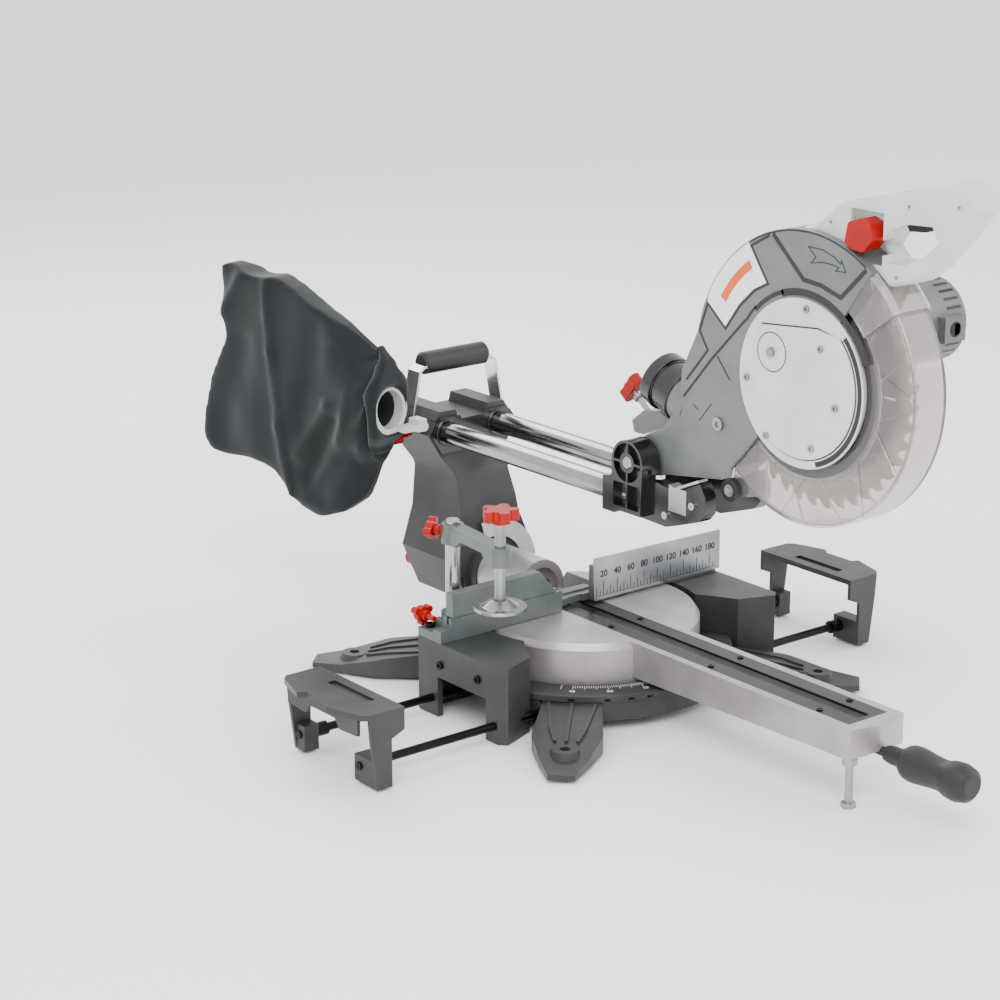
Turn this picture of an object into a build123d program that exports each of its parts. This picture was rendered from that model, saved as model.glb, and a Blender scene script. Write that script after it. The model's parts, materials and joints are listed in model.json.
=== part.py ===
"""Sliding compound miter saw with a 255 mm blade: millimetres, +Z up, the user stands at -Y.

The origin is on the floor under the turntable's axis, which lies on the fence's front face.
The head is raised and pulled fully forward, at 0 degrees of miter and of bevel.
"""
import os
from math import atan2, ceil, cos, hypot, pi, radians, sin, sqrt, tan

from build123d import *

os.makedirs("parts", exist_ok=True)

# table and base
table_top = 85.0
turntable_radius = 128.0
ring_inner = 132.0
ring_outer = 165.0
ring_top = 42.0
ring_thickness = 8.0
dish_thickness = 8.0
play = 0.3  # gap between faces that move past each other
running = 0.05  # radial clearance of a running fit
block_inner = 118.0
block_outer = 200.0
block_front = -105.0
block_back = 40.0
block_wall = 7.0
arch_front = -77.0
arch_back = 6.0
arch_top = 46.0
leg_clear = 1.0  # the block's legs stop this far above the floor
foot_x = 182.0
foot_y = 185.0
foot_width = 74.0
foot_hole = 5.5
foot_reach = 46.0  # from the hole to the foot's tip
pad_height = 4.0
pad_radius = 15.0
pivot_bolt = 6.0

# arm of the turntable
arm_half = 38.0
arm_front = -444.0
arm_nose = 9.0
arm_bottom = 45.0
arm_front_bottom = 53.0
arm_wall = 5.0
insert_half = 27.0
insert_thickness = 3.0
kerf_half = 8.0
kerf_end = -424.0
insert_end = -432.0
insert_back = 62.0
trough_half = 15.0
trough_bottom = 69.0
lock_rod_z = 57.0
lock_rod_radius = 5.0

# bevel hinge and column
hub_radius = 34.0
hub_front = 76.0
hub_back = 150.0
bevel_bolt = 8.0
column_back = 262.0
housing_front = 200.0
housing_back = 275.0
housing_bottom = 222.0
housing_top = 268.0
housing_half = 64.0
slide_knob_y = 240.0

# slide rails and pivot bracket
rail_radius = 12.5
rail_bore = 9.0
rail_x = 37.0
rail_z = 249.0
slide_knob_z = rail_z - 5.0
slide_knob_rod = 4.0
bearing_wall = 3.5
bearing_length = 20.0
bracket_back = -93.0
bracket_front = -240.0
bracket_half = 56.0
cheek_inner = 31.0
cheek_outer = 46.0
bracket_bottom = 231.0
rail_overrun = 12.0  # rails stand out of the housing by this much when pulled forward

# head
pivot = (-131.0, 289.0)  # head hinge, Y and Z
pivot_pin = 7.0
barrel_radius = 24.0
arbor = (-350.0, 412.0)  # blade axis, Y and Z
guard_radius = 150.0
guard_wall = 3.5
guard_half = 26.0
blade_radius = 127.5
blade_thickness = 2.6
blade_teeth = 40
blade_bore = 15.0
guard_front_angle = 55.0  # where the fixed guard ends, up from the forward direction
rim_radius = 80.0  # rim of the hub plate, on which the moving guard turns
lower_radius = 143.0
lower_half = 21.5
lower_wall = 2.5
lower_front_angle = 50.0
lower_back_angle = -134.0

# motor and gears
gear_module = 1.5
gear_teeth = 39
pinion_teeth = 12
gear_spacing = gear_module * (gear_teeth + pinion_teeth) / 2
motor_angle = 68.0
motor = (
    arbor[0] + gear_spacing * cos(radians(motor_angle)),
    arbor[1] + gear_spacing * sin(radians(motor_angle)),
)
motor_radius = 43.0
motor_wall = 4.0
case_end = 56.0
motor_end = 178.0
arbor_shaft_radius = 6.0

# fence
fence_half = 200.0
fence_height = 110.0
fence_top = 137.0
fence_thickness = 14.0
fence_lift = 0.8  # gap between the fence and the turntable
fence_gap_left = -42.0
fence_gap_right = 18.0
ruler_thickness = 2.0
ruler_bottom = 88.0
ruler_top = 137.0
ruler_end = 204.0

# vise
post_radius = 8.0
post_x = -165.0
post_y = 24.0
post_top = 212.0
screw_x = -176.0
screw_y = -71.0
vise_arm_bottom = 186.0
vise_arm_top = 207.0
vise_screw_radius = 6.0

# side supports
support_rod_radius = 4.5
rod_z = 20.0
rod_front = -91.0
rod_back = 16.0
rod_inside = 60.0
support_front = -122.0
support_back = 25.0
left_support_inner = 338.0
right_support_inner = 295.0
support_width = 50.0
support_sheet = 4.0


def across(x):
    """Plane at x whose sketch coordinates are Y and Z; extrude goes towards +X."""
    return Plane.YZ.offset(x)


def facing(y):
    """Plane at y whose sketch coordinates are X and Z; extrude goes towards -Y."""
    return Plane.XZ.offset(-y)


def level(z):
    return Plane.XY.offset(z)


def at(x, y, z, direction):
    """Plane at a point whose normal is the direction."""
    return Plane(origin=(x, y, z), z_dir=direction)


def bar(plane, radius, length, mode=Mode.ADD):
    with BuildSketch(plane) as disc:
        Circle(radius)
    extrude(disc.sketch, amount=length, mode=mode)


def tube(plane, outer, inner, length, mode=Mode.ADD):
    with BuildSketch(plane) as ring:
        Circle(outer)
        Circle(inner, mode=Mode.SUBTRACT)
    extrude(ring.sketch, amount=length, mode=mode)


def block(low, high, mode=Mode.ADD):
    middle = [(a + b) / 2 for a, b in zip(low, high)]
    with Locations(Vector(*middle)):
        Box(*[b - a for a, b in zip(low, high)], mode=mode)


def shape(plane, points, length, mode=Mode.ADD):
    with BuildSketch(plane) as outline:
        Polygon(*points, align=None)
    extrude(outline.sketch, amount=length, mode=mode)


def ahead(radius, angle, centre=arbor):
    """Point (Y, Z) at an angle counted up from the forward direction."""
    return (
        centre[0] - radius * cos(radians(angle)),
        centre[1] + radius * sin(radians(angle)),
    )


def wedge(start, end, reach=400.0, centre=arbor):
    """Outline that takes in everything between two angles round a centre."""
    steps = ceil((end - start) / 30)
    turns = [start + (end - start) * i / steps for i in range(steps + 1)]
    return [centre] + [ahead(reach, a, centre) for a in turns]


def ring_sector(plane, outer, inner, start, end, length, mode=Mode.ADD):
    """Part of a flat ring round the arbor."""
    with BuildSketch(plane) as sector:
        with Locations(arbor):
            Circle(outer)
            if inner > 0:
                Circle(inner, mode=Mode.SUBTRACT)
        Polygon(*wedge(start, end), align=None, mode=Mode.INTERSECT)
    extrude(sector.sketch, amount=length, mode=mode)


def hex_screw(plane, radius, length, head_radius, head_height):
    """Shank along the plane's normal with a hexagon head behind it."""
    bar(plane, radius, length)
    with BuildSketch(plane) as head:
        RegularPolygon(head_radius, 6)
    extrude(head.sketch, amount=-head_height)


def socket_screw(plane, radius, length, head_radius, head_height):
    """Shank along the plane's normal, and a round head with a hexagon socket behind it."""
    bar(plane, radius, length)
    bar(plane, head_radius, -head_height)
    with BuildSketch(plane.offset(-head_height)) as socket:
        RegularPolygon(head_radius * 0.5, 6)
    extrude(socket.sketch, amount=head_height * 0.6, mode=Mode.SUBTRACT)


def star_knob(plane, radius, lobes, thickness, hub_length):
    """Hand knob with round lobes, its hub pointing along the plane's normal."""
    lobe_radius = radius * 0.3
    with BuildSketch(plane) as star:
        Circle(radius * 0.66)
        with PolarLocations(radius - lobe_radius, lobes):
            Circle(lobe_radius)
    extrude(star.sketch, amount=-thickness)
    bar(plane, radius * 0.42, hub_length)


def gear_outline(teeth, addendum, dedendum, thinning):
    """Points round a spur gear with 20 degree involute flanks, a tooth on the X axis."""
    pressure = radians(20)
    pitch = gear_module * teeth / 2
    base = pitch * cos(pressure)
    tip = pitch + addendum
    root = pitch - dedendum
    half = pi / (2 * teeth) - thinning / pitch
    inv = tan(pressure) - pressure
    flank = []
    start = max(base, root)
    for i in range(6):
        r = start + (tip - start) * i / 5
        spread = sqrt(max((r / base) ** 2 - 1, 0))
        flank.append((r, half + inv - (spread - atan2(spread, 1))))
    if root < base:
        flank.insert(0, (root, flank[0][1]))
    points = []
    for n in range(teeth):
        middle = 2 * pi * n / teeth
        side = [(r, middle - a) for r, a in flank]
        side += [(r, middle + a) for r, a in reversed(flank)]
        points += [(r * cos(a), r * sin(a)) for r, a in side]
    return points


# ---------------------------------------------------------------- base
dish_top = ring_top - ring_thickness
skirt_bottom = dish_top - dish_thickness - 14.0
boss_radius = 10.5
foot_length = hypot(foot_x, foot_y)

# four sloping feet, one towards each bench bolt
feet = []
foot_root = ring_outer - 8.0
foot_tip = foot_length + foot_reach
for sx in (-1, 1):
    for sy in (-1, 1):
        angle = atan2(sy * foot_y, sx * foot_x)
        outward = (cos(angle), sin(angle), 0)
        radial = Plane(origin=(0, 0, 0), x_dir=outward, z_dir=(sin(angle), -cos(angle), 0))
        plan = Plane(origin=(0, 0, 0), x_dir=outward, z_dir=(0, 0, 1))
        profile = [
            (foot_root, pad_height), (foot_tip, pad_height), (foot_tip, pad_height + 6),
            (foot_length + 12, pad_height + 9), (foot_length - 40, dish_top - 8), (foot_root, dish_top),
        ]
        half_outline = [
            (foot_root, foot_width / 2 - 6), (foot_length - 30, foot_width / 2),
            (foot_length + 14, foot_width / 2 - 12), (foot_tip, 14),
        ]
        foot_outline = half_outline + [(x, -y) for x, y in reversed(half_outline)]
        with BuildPart() as foot:
            shape(radial.offset(-foot_width / 2), profile, foot_width)
            shape(plan, foot_outline, table_top, mode=Mode.INTERSECT)
        feet.append(foot.part)

with BuildPart() as base_casting:
    # dish that carries the turntable, with a skirt round it
    with BuildSketch(level(dish_top - dish_thickness)):
        Circle(ring_outer - 3.0)
    extrude(amount=dish_thickness)
    tube(level(skirt_bottom), ring_outer - 3.0, ring_outer - 11.0, dish_top - skirt_bottom)
    with BuildSketch(level(skirt_bottom)):
        Circle(boss_radius)
    extrude(amount=dish_top - skirt_bottom)
    # two side blocks, open below, with an arch in the outer wall
    for side in (-1, 1):
        outline = [
            (side * block_outer, block_front + 8),
            (side * (block_outer - 8), block_front),
            (side * 150, block_front + 16),
            (side * (ring_inner - 2), block_front + 50),
            (side * block_inner, block_front + 66),
            (side * block_inner, block_back),
            (side * block_outer, block_back),
        ]
        shape(level(leg_clear), outline, table_top - leg_clear)
        inside = [
            (side * (block_outer - block_wall), block_front + 14),
            (side * 154, block_front + 26),
            (side * (block_inner + block_wall), block_front + 74),
            (side * (block_inner + block_wall), block_back - block_wall),
            (side * (block_outer - block_wall), block_back - block_wall),
        ]
        shape(level(0), inside, table_top - block_wall, mode=Mode.SUBTRACT)
    for foot_part in feet:
        add(foot_part)
    # bosses for the bench bolts
    for sx in (-1, 1):
        for sy in (-1, 1):
            with Locations((sx * foot_x, sy * foot_y, pad_height)):
                Cone(20, 14, 16, align=(Align.CENTER, Align.CENTER, Align.MIN))
    # openings: arch, turntable seat, rod holes, bolt holes
    for side in (-1, 1):
        reach = side * (block_outer + 5)
        low, high = sorted((reach, reach - side * 20))
        block((low, arch_front, 0), (high, arch_back, arch_top), mode=Mode.SUBTRACT)
    with BuildSketch(level(dish_top)):
        Circle(ring_inner + play)
    extrude(amount=table_top, mode=Mode.SUBTRACT)
    with BuildSketch(level(dish_top)):
        Circle(ring_outer + play)
        Circle(ring_inner - 1, mode=Mode.SUBTRACT)
    extrude(amount=ring_thickness + play, mode=Mode.SUBTRACT)
    bar(level(0), pivot_bolt + 0.2, table_top, mode=Mode.SUBTRACT)
    for y in (rod_front, rod_back):
        bar(at(-block_outer - 5, y, rod_z, (1, 0, 0)), support_rod_radius + running,
            2 * block_outer + 10, mode=Mode.SUBTRACT)
    with Locations(*[(sx * foot_x, sy * foot_y, 0) for sx in (-1, 1) for sy in (-1, 1)]):
        Cylinder(foot_hole, 60, mode=Mode.SUBTRACT)
base_casting.part.label = "base_casting"
export_step(base_casting.part, "parts/base_casting.step")

with BuildPart() as miter_scale_ring:
    tube(level(dish_top), ring_outer, ring_inner, ring_thickness)
    chamfer(miter_scale_ring.edges().group_by(Axis.Z)[-1], 1.5)
    # detent notches for the usual miter angles
    for angle in (0, 15, 22.5, 31.6, 45):
        for side in (-1, 1):
            turn = radians(-90 + side * angle)
            spot = Plane(origin=(ring_outer * cos(turn), ring_outer * sin(turn), dish_top),
                         x_dir=(cos(turn), sin(turn), 0), z_dir=(0, 0, 1))
            with BuildSketch(spot):
                Polygon((2, -5), (2, 5), (-6, 0), align=None)
            extrude(amount=ring_thickness * 0.45, mode=Mode.SUBTRACT)
miter_scale_ring.part.label = "miter_scale_ring"
export_step(miter_scale_ring.part, "parts/miter_scale_ring.step")

with BuildPart() as foot_pads:
    for sx in (-1, 1):
        for sy in (-1, 1):
            tube(at(sx * foot_x, sy * foot_y, 0, (0, 0, 1)), pad_radius, foot_hole, pad_height)
foot_pads.part.label = "foot_pads"
export_step(foot_pads.part, "parts/foot_pads.step")

pivot_floor = 52.0  # top of the turntable's hub
with BuildPart() as turntable_pivot_bolt:
    hex_screw(at(0, 0, skirt_bottom, (0, 0, 1)), pivot_bolt, pivot_floor - skirt_bottom + 9, 10, 5)
    with BuildSketch(level(pivot_floor + play)):
        RegularPolygon(10, 6)
    extrude(amount=6)
turntable_pivot_bolt.part.label = "turntable_pivot_bolt"
export_step(turntable_pivot_bolt.part, "parts/turntable_pivot_bolt.step")

# ---------------------------------------------------------------- turntable
# arm towards the user, with a pointed front
side_view = [
    (-90, arm_bottom), (arm_front + 40, arm_front_bottom), (arm_front, arm_front_bottom),
    (arm_front - arm_nose, arm_front_bottom + 5), (arm_front - arm_nose, table_top), (-90, table_top),
]
plan_view = [
    (-arm_half + 2, -90), (-arm_half, arm_front + 60), (-arm_half, arm_front), (-6, arm_front - arm_nose),
    (6, arm_front - arm_nose), (arm_half, arm_front), (arm_half, arm_front + 60), (arm_half - 2, -90),
]
with BuildPart() as arm:
    shape(across(-arm_half), side_view, 2 * arm_half)
    shape(level(0), plan_view, table_top, mode=Mode.INTERSECT)
    block((-arm_half + arm_wall, arm_front + 8, 0), (arm_half - arm_wall, -90, trough_bottom - arm_wall),
          mode=Mode.SUBTRACT)

rim_step = 78.0
skin = 6.0
with BuildPart() as turntable:
    with BuildSketch(across(0)) as rim:
        Polygon(
            (0, dish_top + play), (turntable_radius, dish_top + play), (turntable_radius, rim_step),
            (turntable_radius - 5, table_top), (0, table_top), align=None,
        )
    revolve(rim.sketch, axis=Axis.Z)
    with BuildSketch(level(0)):
        Circle(turntable_radius - 7)
        Circle(26, mode=Mode.SUBTRACT)
    extrude(amount=trough_bottom - skin, mode=Mode.SUBTRACT)
    add(arm.part)
    # rear bearing of the bevel hinge
    block((-30, 60, arm_bottom), (30, hub_back, table_top - 5))
    bar(at(0, hub_front, table_top, (0, 1, 0)), hub_radius, hub_back - hub_front)
    # boss for the lock rod
    block((-12, arm_front + 8, lock_rod_z - 8), (12, arm_front + 30, trough_bottom - arm_wall))
    block((-12, -190, lock_rod_z - 8), (12, -175, trough_bottom - arm_wall))
    # cuts: pivot, insert seat, kerf trough, hinge bore, rod bore
    bar(level(0), pivot_bolt + running, table_top, mode=Mode.SUBTRACT)
    bar(level(pivot_floor), 14, table_top, mode=Mode.SUBTRACT)
    block((-insert_half - play, insert_end - play, table_top - insert_thickness),
          (insert_half + play, insert_back + play, table_top + 5), mode=Mode.SUBTRACT)
    block((-trough_half, kerf_end, trough_bottom), (trough_half, insert_back - 8, table_top),
          mode=Mode.SUBTRACT)
    bar(at(0, hub_front - 10, table_top, (0, 1, 0)), bevel_bolt, 100, mode=Mode.SUBTRACT)
    bar(at(0, hub_front, table_top, (0, 1, 0)), hub_radius - 9, 8, mode=Mode.SUBTRACT)
    bar(at(0, arm_front - 20, lock_rod_z, (0, 1, 0)), lock_rod_radius + running, 300, mode=Mode.SUBTRACT)
    bar(at(-29, arm_front + 7, 40, (0, 0, 1)), 4.1, 40, mode=Mode.SUBTRACT)
turntable.part.label = "turntable"
export_step(turntable.part, "parts/turntable.step")

with BuildPart() as kerf_inserts:
    for side in (-1, 1):
        low, high = sorted((side * kerf_half, side * insert_half))
        block((low, insert_end, table_top - insert_thickness), (high, insert_back, table_top))
    block((-kerf_half, insert_end, table_top - insert_thickness), (kerf_half, kerf_end - 1, table_top))
    block((-kerf_half, insert_back - 8, table_top - insert_thickness), (kerf_half, insert_back, table_top))
kerf_inserts.part.label = "kerf_inserts"
export_step(kerf_inserts.part, "parts/kerf_inserts.step")

insert_screw_spots = [(x, y) for x in (-21, 21) for y in (-70, -228, -386)]
with BuildPart() as insert_screws:
    for x, y in insert_screw_spots:
        socket_screw(at(x, y, table_top + 0.05, (0, 0, -1)), 0.1, 0.05, 3.4, 1.2)
insert_screws.part.label = "insert_screws"
export_step(insert_screws.part, "parts/insert_screws.step")

with BuildPart() as miter_pointer:
    shape(across(-20), [(-turntable_radius - 0.1, 52), (-turntable_radius - 2, 52),
                        (-turntable_radius - 16, ring_top + 2.2), (-turntable_radius - 16, ring_top + 0.8),
                        (-turntable_radius - 1.5, ring_top + 3), (-turntable_radius - 0.1, ring_top + 3)], 8)
miter_pointer.part.label = "miter_pointer"
export_step(miter_pointer.part, "parts/miter_pointer.step")

with BuildPart() as stabiliser_bolt:
    hex_screw(at(-29, arm_front + 7, 5.5, (0, 0, 1)), 4.05, 60, 8, 5)
    with BuildSketch(level(arm_front_bottom - 8)):
        with Locations((-29, arm_front + 7)):
            RegularPolygon(8, 6)
    extrude(amount=7.5)
stabiliser_bolt.part.label = "stabiliser_bolt"
export_step(stabiliser_bolt.part, "parts/stabiliser_bolt.step")

# ---------------------------------------------------------------- miter lock
grip_start = arm_front - arm_nose - 6
with BuildPart() as miter_lock_handle:
    with BuildSketch(Plane(origin=(0, grip_start, lock_rod_z), x_dir=(1, 0, 0), z_dir=(0, 0, 1))) as outline:
        with BuildLine():
            Polyline((0, 0), (8, 0), (9.5, -8), (9.5, -14))
            Spline((9.5, -14), (16, -28), (17, -55), (16.5, -78), (19.5, -96), tangents=((0, -1), (0, -1)))
            Polyline((19.5, -96), (17, -106), (12, -110), (0, -110), (0, 0))
        make_face()
    revolve(outline.sketch, axis=Axis((0, 0, lock_rod_z), (0, 1, 0)))
    bar(at(0, grip_start, lock_rod_z, (0, 1, 0)), lock_rod_radius, 288)
miter_lock_handle.part.label = "miter_lock_handle"
export_step(miter_lock_handle.part, "parts/miter_lock_handle.step")

# ---------------------------------------------------------------- bevel column
column_front = hub_back + play
flange_thickness = 12.0
handle_y = 238.0
swing_radius = table_top - ring_top - 1.0
with BuildPart() as ring_relief:
    block((-housing_half, 140, 0), (housing_half, ring_outer + 1.5, table_top))
    bar(at(0, 130, table_top, (0, 1, 0)), swing_radius, 60, mode=Mode.SUBTRACT)

with BuildPart() as bevel_column:
    side_profile = [
        (column_front + flange_thickness, 52), (column_front + flange_thickness, 112), (172, 168),
        (186, 205), (housing_front, housing_bottom), (housing_front, housing_top - 6),
        (housing_back, housing_top - 6), (housing_back, housing_bottom), (column_back, 205),
        (column_back, 52),
    ]
    shape(across(-housing_half), side_profile, 2 * housing_half)
    front_profile = [
        (-34, 52), (-57, 104), (-42, 150), (-38, 198), (-48, housing_bottom), (-housing_half, rail_z - 1),
        (-50, housing_top), (50, housing_top), (housing_half, rail_z - 1), (48, housing_bottom), (38, 198),
        (42, 150), (57, 104), (34, 52),
    ]
    shape(facing(housing_back + 1), front_profile, 160, mode=Mode.INTERSECT)
    bar(at(0, column_front, table_top, (0, 1, 0)), hub_radius + 2, column_back - column_front)
    # relief that lets the column swing over the miter ring
    add(ring_relief.part, mode=Mode.SUBTRACT)
    # raised covers over the rails
    for side in (-1, 1):
        cover = [(side * 20, housing_top - 7), (side * 23, housing_top + 5), (side * 46, housing_top + 5),
                 (side * 53, housing_top - 5), (side * 50, housing_top - 8)]
        shape(facing(housing_back - 2), cover, housing_back - housing_front - 4)
    # pockets in the rear, rail bores, hinge bore
    block((-34, column_back - 60, 128), (-3, housing_back + 1, 214), mode=Mode.SUBTRACT)
    block((3, column_back - 60, 128), (34, housing_back + 1, 214), mode=Mode.SUBTRACT)
    for side in (-1, 1):
        bar(at(side * rail_x, housing_front - 5, rail_z, (0, 1, 0)), rail_radius + 0.5, 120,
            mode=Mode.SUBTRACT)
        for y in (housing_front - 1, housing_back - bearing_length):
            bar(at(side * rail_x, y, rail_z, (0, 1, 0)), rail_radius + bearing_wall, bearing_length + 1,
                mode=Mode.SUBTRACT)
    bar(at(0, column_front - 5, table_top, (0, 1, 0)), bevel_bolt, 200, mode=Mode.SUBTRACT)
    bar(at(-housing_half - 5, slide_knob_y, slide_knob_z, (1, 0, 0)), slide_knob_rod + running, 30,
        mode=Mode.SUBTRACT)
bevel_column.part.label = "bevel_column"
export_step(bevel_column.part, "parts/bevel_column.step")

with BuildPart() as linear_bearings:
    for side in (-1, 1):
        for y in (housing_front, housing_back - bearing_length):
            tube(at(side * rail_x, y, rail_z, (0, 1, 0)), rail_radius + bearing_wall, rail_radius + running,
                 bearing_length)
linear_bearings.part.label = "linear_bearings"
export_step(linear_bearings.part, "parts/linear_bearings.step")

with BuildPart() as bevel_pivot_bolt:
    bar(at(0, hub_front + 8, table_top, (0, 1, 0)), bevel_bolt - running, column_back - hub_front + 18)
    with BuildSketch(at(0, hub_front + 8, table_top, (0, 1, 0))) as head:
        RegularPolygon(15, 6)
    extrude(head.sketch, amount=-7)
    tube(at(0, column_back + play, table_top, (0, 1, 0)), 19, bevel_bolt - running, 3)
bevel_pivot_bolt.part.label = "bevel_pivot_bolt"
export_step(bevel_pivot_bolt.part, "parts/bevel_pivot_bolt.step")

with BuildPart() as bevel_lock_knob:
    with BuildSketch(at(0, column_back + 6, table_top, (0, 1, 0))) as core:
        Circle(16)
        Circle(bevel_bolt, mode=Mode.SUBTRACT)
    extrude(core.sketch, amount=26)
    with BuildSketch(at(0, column_back + 14, table_top, (0, 1, 0))) as lobes:
        Circle(20)
        with PolarLocations(22, 5, start_angle=20):
            Circle(10)
        Circle(12, mode=Mode.SUBTRACT)
    extrude(lobes.sketch, amount=20)
bevel_lock_knob.part.label = "bevel_lock_knob"
export_step(bevel_lock_knob.part, "parts/bevel_lock_knob.step")

with BuildPart() as slide_lock_knob:
    star_knob(at(-housing_half - 14, slide_knob_y, slide_knob_z, (1, 0, 0)), 13, 3, 11, 12)
    bar(at(-housing_half - 3, slide_knob_y, slide_knob_z, (1, 0, 0)), slide_knob_rod, 14)
slide_lock_knob.part.label = "slide_lock_knob"
export_step(slide_lock_knob.part, "parts/slide_lock_knob.step")

strap_width = 22.0
strap_thickness = 3.0
handle_foot_x = 68.0
handle_shoulder = 316.0
handle_top = 322.0
with BuildPart() as carry_handle_strap:
    outer = [(-handle_foot_x, 251), (-56, handle_shoulder), (-48, handle_top), (48, handle_top),
             (56, handle_shoulder), (handle_foot_x, 251)]
    inner = [(handle_foot_x - strap_thickness, 251), (56 - strap_thickness, handle_shoulder - 1),
             (47, handle_top - strap_thickness), (-47, handle_top - strap_thickness),
             (-56 + strap_thickness, handle_shoulder - 1), (-handle_foot_x + strap_thickness, 251)]
    shape(facing(handle_y + strap_width / 2), outer + inner, strap_width)
    for side in (-1, 1):
        low, high = sorted((side * (housing_half - 16), side * (handle_foot_x - 1.5)))
        block((low, handle_y - strap_width / 2, 251), (high, handle_y + strap_width / 2, 254))
    for side in (-1, 1):
        hole = [(side * (housing_half + 0.2), rail_z - 1), (side * 50.2, housing_top + 0.2),
                (side * 30, housing_top + 0.2), (side * 30, rail_z - 1)]
        shape(facing(housing_back), hole, 80, mode=Mode.SUBTRACT)
carry_handle_strap.part.label = "carry_handle_strap"
export_step(carry_handle_strap.part, "parts/carry_handle_strap.step")

grip_radius = 13.0
with BuildPart() as carry_handle_grip:
    bar(at(-46, handle_y, handle_top + 1, (1, 0, 0)), grip_radius, 92)
    chamfer(carry_handle_grip.edges().filter_by(GeomType.CIRCLE), 3)
    block((-60, handle_y - strap_width / 2, handle_top - strap_thickness),
          (60, handle_y + strap_width / 2, handle_top), mode=Mode.SUBTRACT)
carry_handle_grip.part.label = "carry_handle_grip"
export_step(carry_handle_grip.part, "parts/carry_handle_grip.step")

with BuildPart() as bevel_scale:
    centre = (0, table_top)
    with BuildSketch(facing(column_front + flange_thickness)) as plate:
        with Locations(centre):
            Circle(62)
            Circle(hub_radius + 8, mode=Mode.SUBTRACT)
        Polygon(centre, (150, table_top + 20), (150, table_top + 200), (-60, table_top + 200), align=None,
                mode=Mode.INTERSECT)
    extrude(plate.sketch, amount=1.5)
bevel_scale.part.label = "bevel_scale"
export_step(bevel_scale.part, "parts/bevel_scale.step")

# ---------------------------------------------------------------- dust bag
bag_angle = 12.0
bag_neck = (-120.0, 245.0)
bag_thickness = 74.0
bag_clear = 0.4
handle_side_clear = 78.0  # nothing of the bag stands nearer to the middle than this
bag_plane = Plane(
    origin=(bag_neck[0], bag_neck[1], 0),
    x_dir=(-sin(radians(bag_angle)), cos(radians(bag_angle)), 0),
    z_dir=(cos(radians(bag_angle)), sin(radians(bag_angle)), 0),
)
spigot_radius = 25.0
spigot_flange = 28.5
spigot_wall = 3.0
spigot_length = 26.0
spigot_plane = Plane(origin=(-104, 218, 282), z_dir=(-0.2, 0.92, -0.1))
bracket_low = (-96, 203, 256)  # tongue that carries the spigot
bracket_high = (-housing_half + 2, 221, 262)
with BuildPart() as bag_spigot:
    tube(spigot_plane, spigot_radius, spigot_radius - spigot_wall, spigot_length)
    tube(spigot_plane, spigot_flange, spigot_radius - spigot_wall, 4)
    block(bracket_low, bracket_high)
    bar(spigot_plane.offset(-5), spigot_radius - spigot_wall, spigot_length + 10, mode=Mode.SUBTRACT)
    shape(facing(housing_back), [(-housing_half, rail_z - 1), (-50, housing_top), (0, housing_top), (0, 200),
                                 (-48, 200), (-48, housing_bottom)], 80, mode=Mode.SUBTRACT)
    block((-76, bracket_low[1], 254), (-housing_half, bracket_high[1], 268))
bag_spigot.part.label = "bag_spigot"
export_step(bag_spigot.part, "parts/bag_spigot.step")

with BuildPart() as dust_bag:
    outline = [(-34, 322), (0, 352), (60, 384), (120, 402), (186, 426), (242, 436), (262, 400), (290, 215),
               (272, 194), (150, 155), (105, 146), (60, 161), (28, 216), (13, 262), (-32, 262)]
    with BuildSketch(bag_plane.offset(-bag_thickness / 2)) as side:
        Polygon(*outline, align=None)
        fillet(side.vertices(), 9)
    extrude(side.sketch, amount=bag_thickness)
    # the neck goes round the spigot, and stays clear of it and of the carry handle
    bar(spigot_plane.offset(-20), spigot_flange + bag_clear, spigot_length + 20 + bag_clear,
        mode=Mode.SUBTRACT)
    block((bracket_low[0] - bag_clear, bracket_low[1] - 20, bracket_low[2] - bag_clear),
          (0, bracket_high[1] + bag_clear, bracket_high[2] + bag_clear), mode=Mode.SUBTRACT)
    block((-handle_side_clear, 0, 0), (0, 600, 600), mode=Mode.SUBTRACT)
dust_bag.part.label = "dust_bag"
export_step(dust_bag.part, "parts/dust_bag.step")

# ---------------------------------------------------------------- carriage
rail_front = -122.0
with BuildPart() as slide_rails:
    for side in (-1, 1):
        tube(at(side * rail_x, rail_front, rail_z, (0, 1, 0)), rail_radius, rail_bore,
             housing_back + rail_overrun - rail_front)
slide_rails.part.label = "slide_rails"
export_step(slide_rails.part, "parts/slide_rails.step")

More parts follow.
